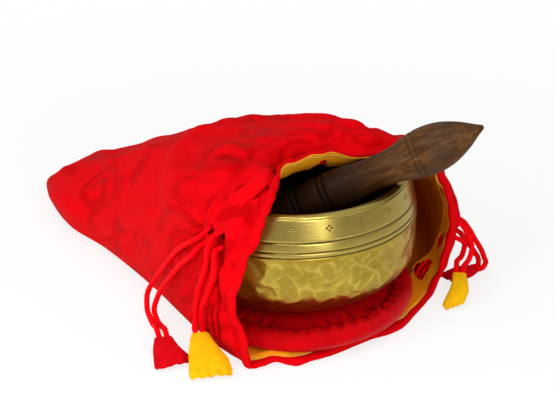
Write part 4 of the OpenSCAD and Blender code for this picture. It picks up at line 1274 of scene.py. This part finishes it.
def casing_line(slot):
    """The middle of a cord in the casing, once round from the left seam."""
    place = CASING_FROM + (CASING_TO - CASING_FROM) * (slot + 0.5) / CORD_COUNT
    line = at_layer("cord")
    j = np.arange(AROUND)
    middle, bunch = bunch_place(j)
    place = place * (1 - bunch) + (middle + 0.0105 * (slot - 1.5)) * bunch
    k = np.searchsorted(pouch_t, place) - 1
    f = ((place - pouch_t[k]) / (pouch_t[k + 1] - pouch_t[k]))[:, None]
    return line[k, j] * (1 - f) + line[k + 1, j] * f


def held_run(name):
    """From one free end through the casing, round the mouth, to the other free end."""
    side = name.split("_")[0]
    line = casing_line(SLOT[name])
    gap = int(HALF * 0.6 / 24)
    seam = 0 if side == "left" else HALF
    columns = np.arange(seam + gap, seam + AROUND - gap + 1, 2) % AROUND
    first, last = ("a", "b") if side == "left" else ("b", "a")
    start, stop = ROUTES[f"{name}_end_{first}"][0], ROUTES[f"{name}_end_{last}"][0]
    return path_through([start] + [tuple(p) for p in line[columns]] + [stop], 0.7)


def make_tab(name, paint):
    """A stuffed tab: pinched where the cords go in, flat and crimped along its lower edge."""
    form = TABS[name]
    origin, down, across, face = tab_frame(form)
    length = form[3]
    wide, neck, lean, slant, full_at, wavy, corner, filled = TAB_CUT[name]
    rows, cols = 26, 22
    seed = np.random.default_rng(sum(map(ord, name)))
    v = np.linspace(0, 1, rows)[:, None]
    u = np.linspace(-1, 1, cols)[None, :]
    full = np.where(u < 0, 1.0, full_at)
    half = (neck + (wide / 2 - neck) * np.minimum(v / full, 1)) * (1 - 0.08 * smooth(v, 0.88, 1.0))
    wave = 0.35 * np.sin(u * 7 + seed.uniform(0, 6)) + 0.25 * np.sin(u * 15 + 1)
    cut_off = slant * (u + 0.4) + corner * smooth(u, -0.5, -1.0)
    drop = v * length * (1 - cut_off * smooth(v, 0.1, 1.0)) + wavy * wave * smooth(v, 0.7, 1.0)
    x = u * half + lean * (v - 0.5) * smooth(v, 0.0, 0.6)
    plump = np.maximum(0, 1 - np.abs(u) ** 3.2) ** 0.6
    thick = plump * (1.55 * filled * smooth(v, -0.12, 0.25) * smooth(v, 1.12, 0.55) + 0.28)
    crimp = wavy * 0.6 * np.sin(u * 13.5 + seed.uniform(0, 6)) * smooth(v, 0.7, 1.0)
    bend = 0.5 * np.sin(u * 2.2 + 1) * smooth(v, 0.2, 1.0)
    z = np.maximum(crimp + bend, -0.9)
    middle = origin + down * drop[..., None] + across * x[..., None]
    outer = middle + face * (z + thick)[..., None]
    inner = middle + face * (z - thick)[..., None]
    outer[..., 2] = np.maximum(outer[..., 2], 0.35)
    inner[..., 2] = np.maximum(inner[..., 2], 0.15)
    points, faces = cloth_solid(outer[::-1], inner[::-1], np.ones((rows - 1, cols - 1), bool))
    uv = np.stack(np.broadcast_arrays(x, drop), -1)[::-1].reshape(-1, 2)
    piece = add_piece(f"stuffed_{name}_tab", points, faces, [paint], "pouch", [f"tab_{name}"],
                      uv=np.concatenate([uv, uv]))
    return piece


def make_drawstrings():
    paint = cord_paint()
    tab_red = tab_paint("red_tab_cotton", (0.66, 0.004, 0.010), (0.50, 0.002, 0.006))
    tab_yellow = tab_paint("yellow_tab_cotton", (0.88, 0.50, 0.006), (0.80, 0.40, 0.005))
    tabs = {name: make_tab(name, tab_red if "red" in name else tab_yellow) for name in TABS}
    for name in TABS:
        path = held_run(name)
        points, faces, uv = tube(path, twisted, 12)
        add_piece(f"held_{name}_cord", points, faces, [paint], "pouch", [f"drawstring_{name}"], uv=uv)
    for name in ROUTES:
        path = route_of(name)
        points, faces, uv = tube(path, untwisted, 14)
        piece = add_piece(f"free_{name}", points, faces, [paint], "pouch", [name], uv=uv)


make_drawstrings()
make_bowl()
make_mallet()
make_cushion()


# Stage


def make_stage():
    size = 3.0
    mesh = bpy.data.meshes.new("floor")
    z = -0.0002
    mesh.from_pydata([(-size, -size, z), (size, -size, z), (size, size, z), (-size, size, z)], [], [(0, 1, 2, 3)])
    floor = bpy.data.objects.new("floor", mesh)
    bpy.context.scene.collection.objects.link(floor)
    white = Paint("white_floor", Roughness=0.9, Specular_IOR_Level=0.0)
    x, y, z = white.coordinates("Object")
    grain = white.noise(white.vector(x, y, z), 0.02, 2.0)
    white.drive("Base Color", white.blend(grain, (0.96, 0.96, 0.96), (0.98, 0.98, 0.98)))
    glow = white.node("Emission")
    join = white.node("MixShader")
    far = x.hypot(y).over(200.0, 480.0) * 0.2 + 0.78
    seen = white.num(white.node("LightPath").outputs["Is Camera Ray"]) * far
    white.tree.links.new(seen.out, join.inputs[0])
    white.tree.links.new(white.shader.outputs[0], join.inputs[1])
    white.tree.links.new(glow.outputs[0], join.inputs[2])
    white.tree.links.new(join.outputs[0], white.tree.nodes["Material Output"].inputs["Surface"])
    mesh.materials.append(white.material)

    world = bpy.data.worlds.new("studio")
    bpy.context.scene.world = world
    world.use_nodes = True
    tree = world.node_tree
    back = tree.nodes["Background"]
    back.inputs["Color"].default_value = (1.0, 1.0, 1.0, 1.0)
    rays = tree.nodes.new("ShaderNodeLightPath")
    seen = Num(tree, rays.outputs["Is Camera Ray"]).max(Num(tree, rays.outputs["Is Transmission Ray"]))
    shiny = Num(tree, rays.outputs["Is Glossy Ray"])
    split = tree.nodes.new("ShaderNodeSeparateXYZ")
    tree.links.new(tree.nodes.new("ShaderNodeTexCoord").outputs["Generated"], split.inputs[0])
    height = Num(tree, split.outputs[2]).over(-0.05, 0.75)
    strength = seen.max(shiny * (height * 0.65 + 0.18)).max(0.42)
    tree.links.new(strength.out, back.inputs["Strength"])

    def lamp(name, place, aim, size, power):
        light = bpy.data.lights.new(name, "AREA")
        light.shape = "RECTANGLE"
        light.size, light.size_y = size
        light.energy = power
        lamp_object = bpy.data.objects.new(name, light)
        bpy.context.scene.collection.objects.link(lamp_object)
        lamp_object.location = place
        direction = np.array(aim) - np.array(place)
        yaw = math.atan2(direction[1], direction[0])
        pitch = math.atan2(math.hypot(direction[0], direction[1]), -direction[2])
        lamp_object.rotation_euler = (pitch, 0, yaw - math.pi / 2)

    lamp("key_softbox", (0.44, -1.22, 0.62), (0, 0, 0.05), (0.45, 0.6), 6.0)
    lamp("fill_softbox", (-0.72, -0.95, 1.08), (0.06, 0, 0.05), (0.6, 0.6), 5.2)
    lamp("strip_softbox", (0.52, -1.0, 0.26), (0, 0, 0.05), (0.12, 0.5), 0.6)
    lamp("low_softbox", (-0.75, -0.75, 0.40), (0.0, 0.02, 0.04), (0.6, 0.5), 3.5)
    lamp("top_softbox", (-0.30, -0.30, 1.25), (0, 0.03, 0), (0.9, 0.7), 5.2)

    camera = bpy.data.cameras.new("photo_camera")
    camera.sensor_width = 36.0
    camera.sensor_fit = "HORIZONTAL"
    camera.lens = CAMERA_LENS
    camera.clip_start, camera.clip_end = 0.05, 20.0
    view = bpy.data.objects.new("photo_camera", camera)
    bpy.context.scene.collection.objects.link(view)
    view.location = CAMERA_AT * MM
    view.rotation_euler = (CAMERA_TILT, 0, 0)
    bpy.context.scene.camera = view
    bpy.context.scene.view_settings.view_transform = "Standard"


make_stage()
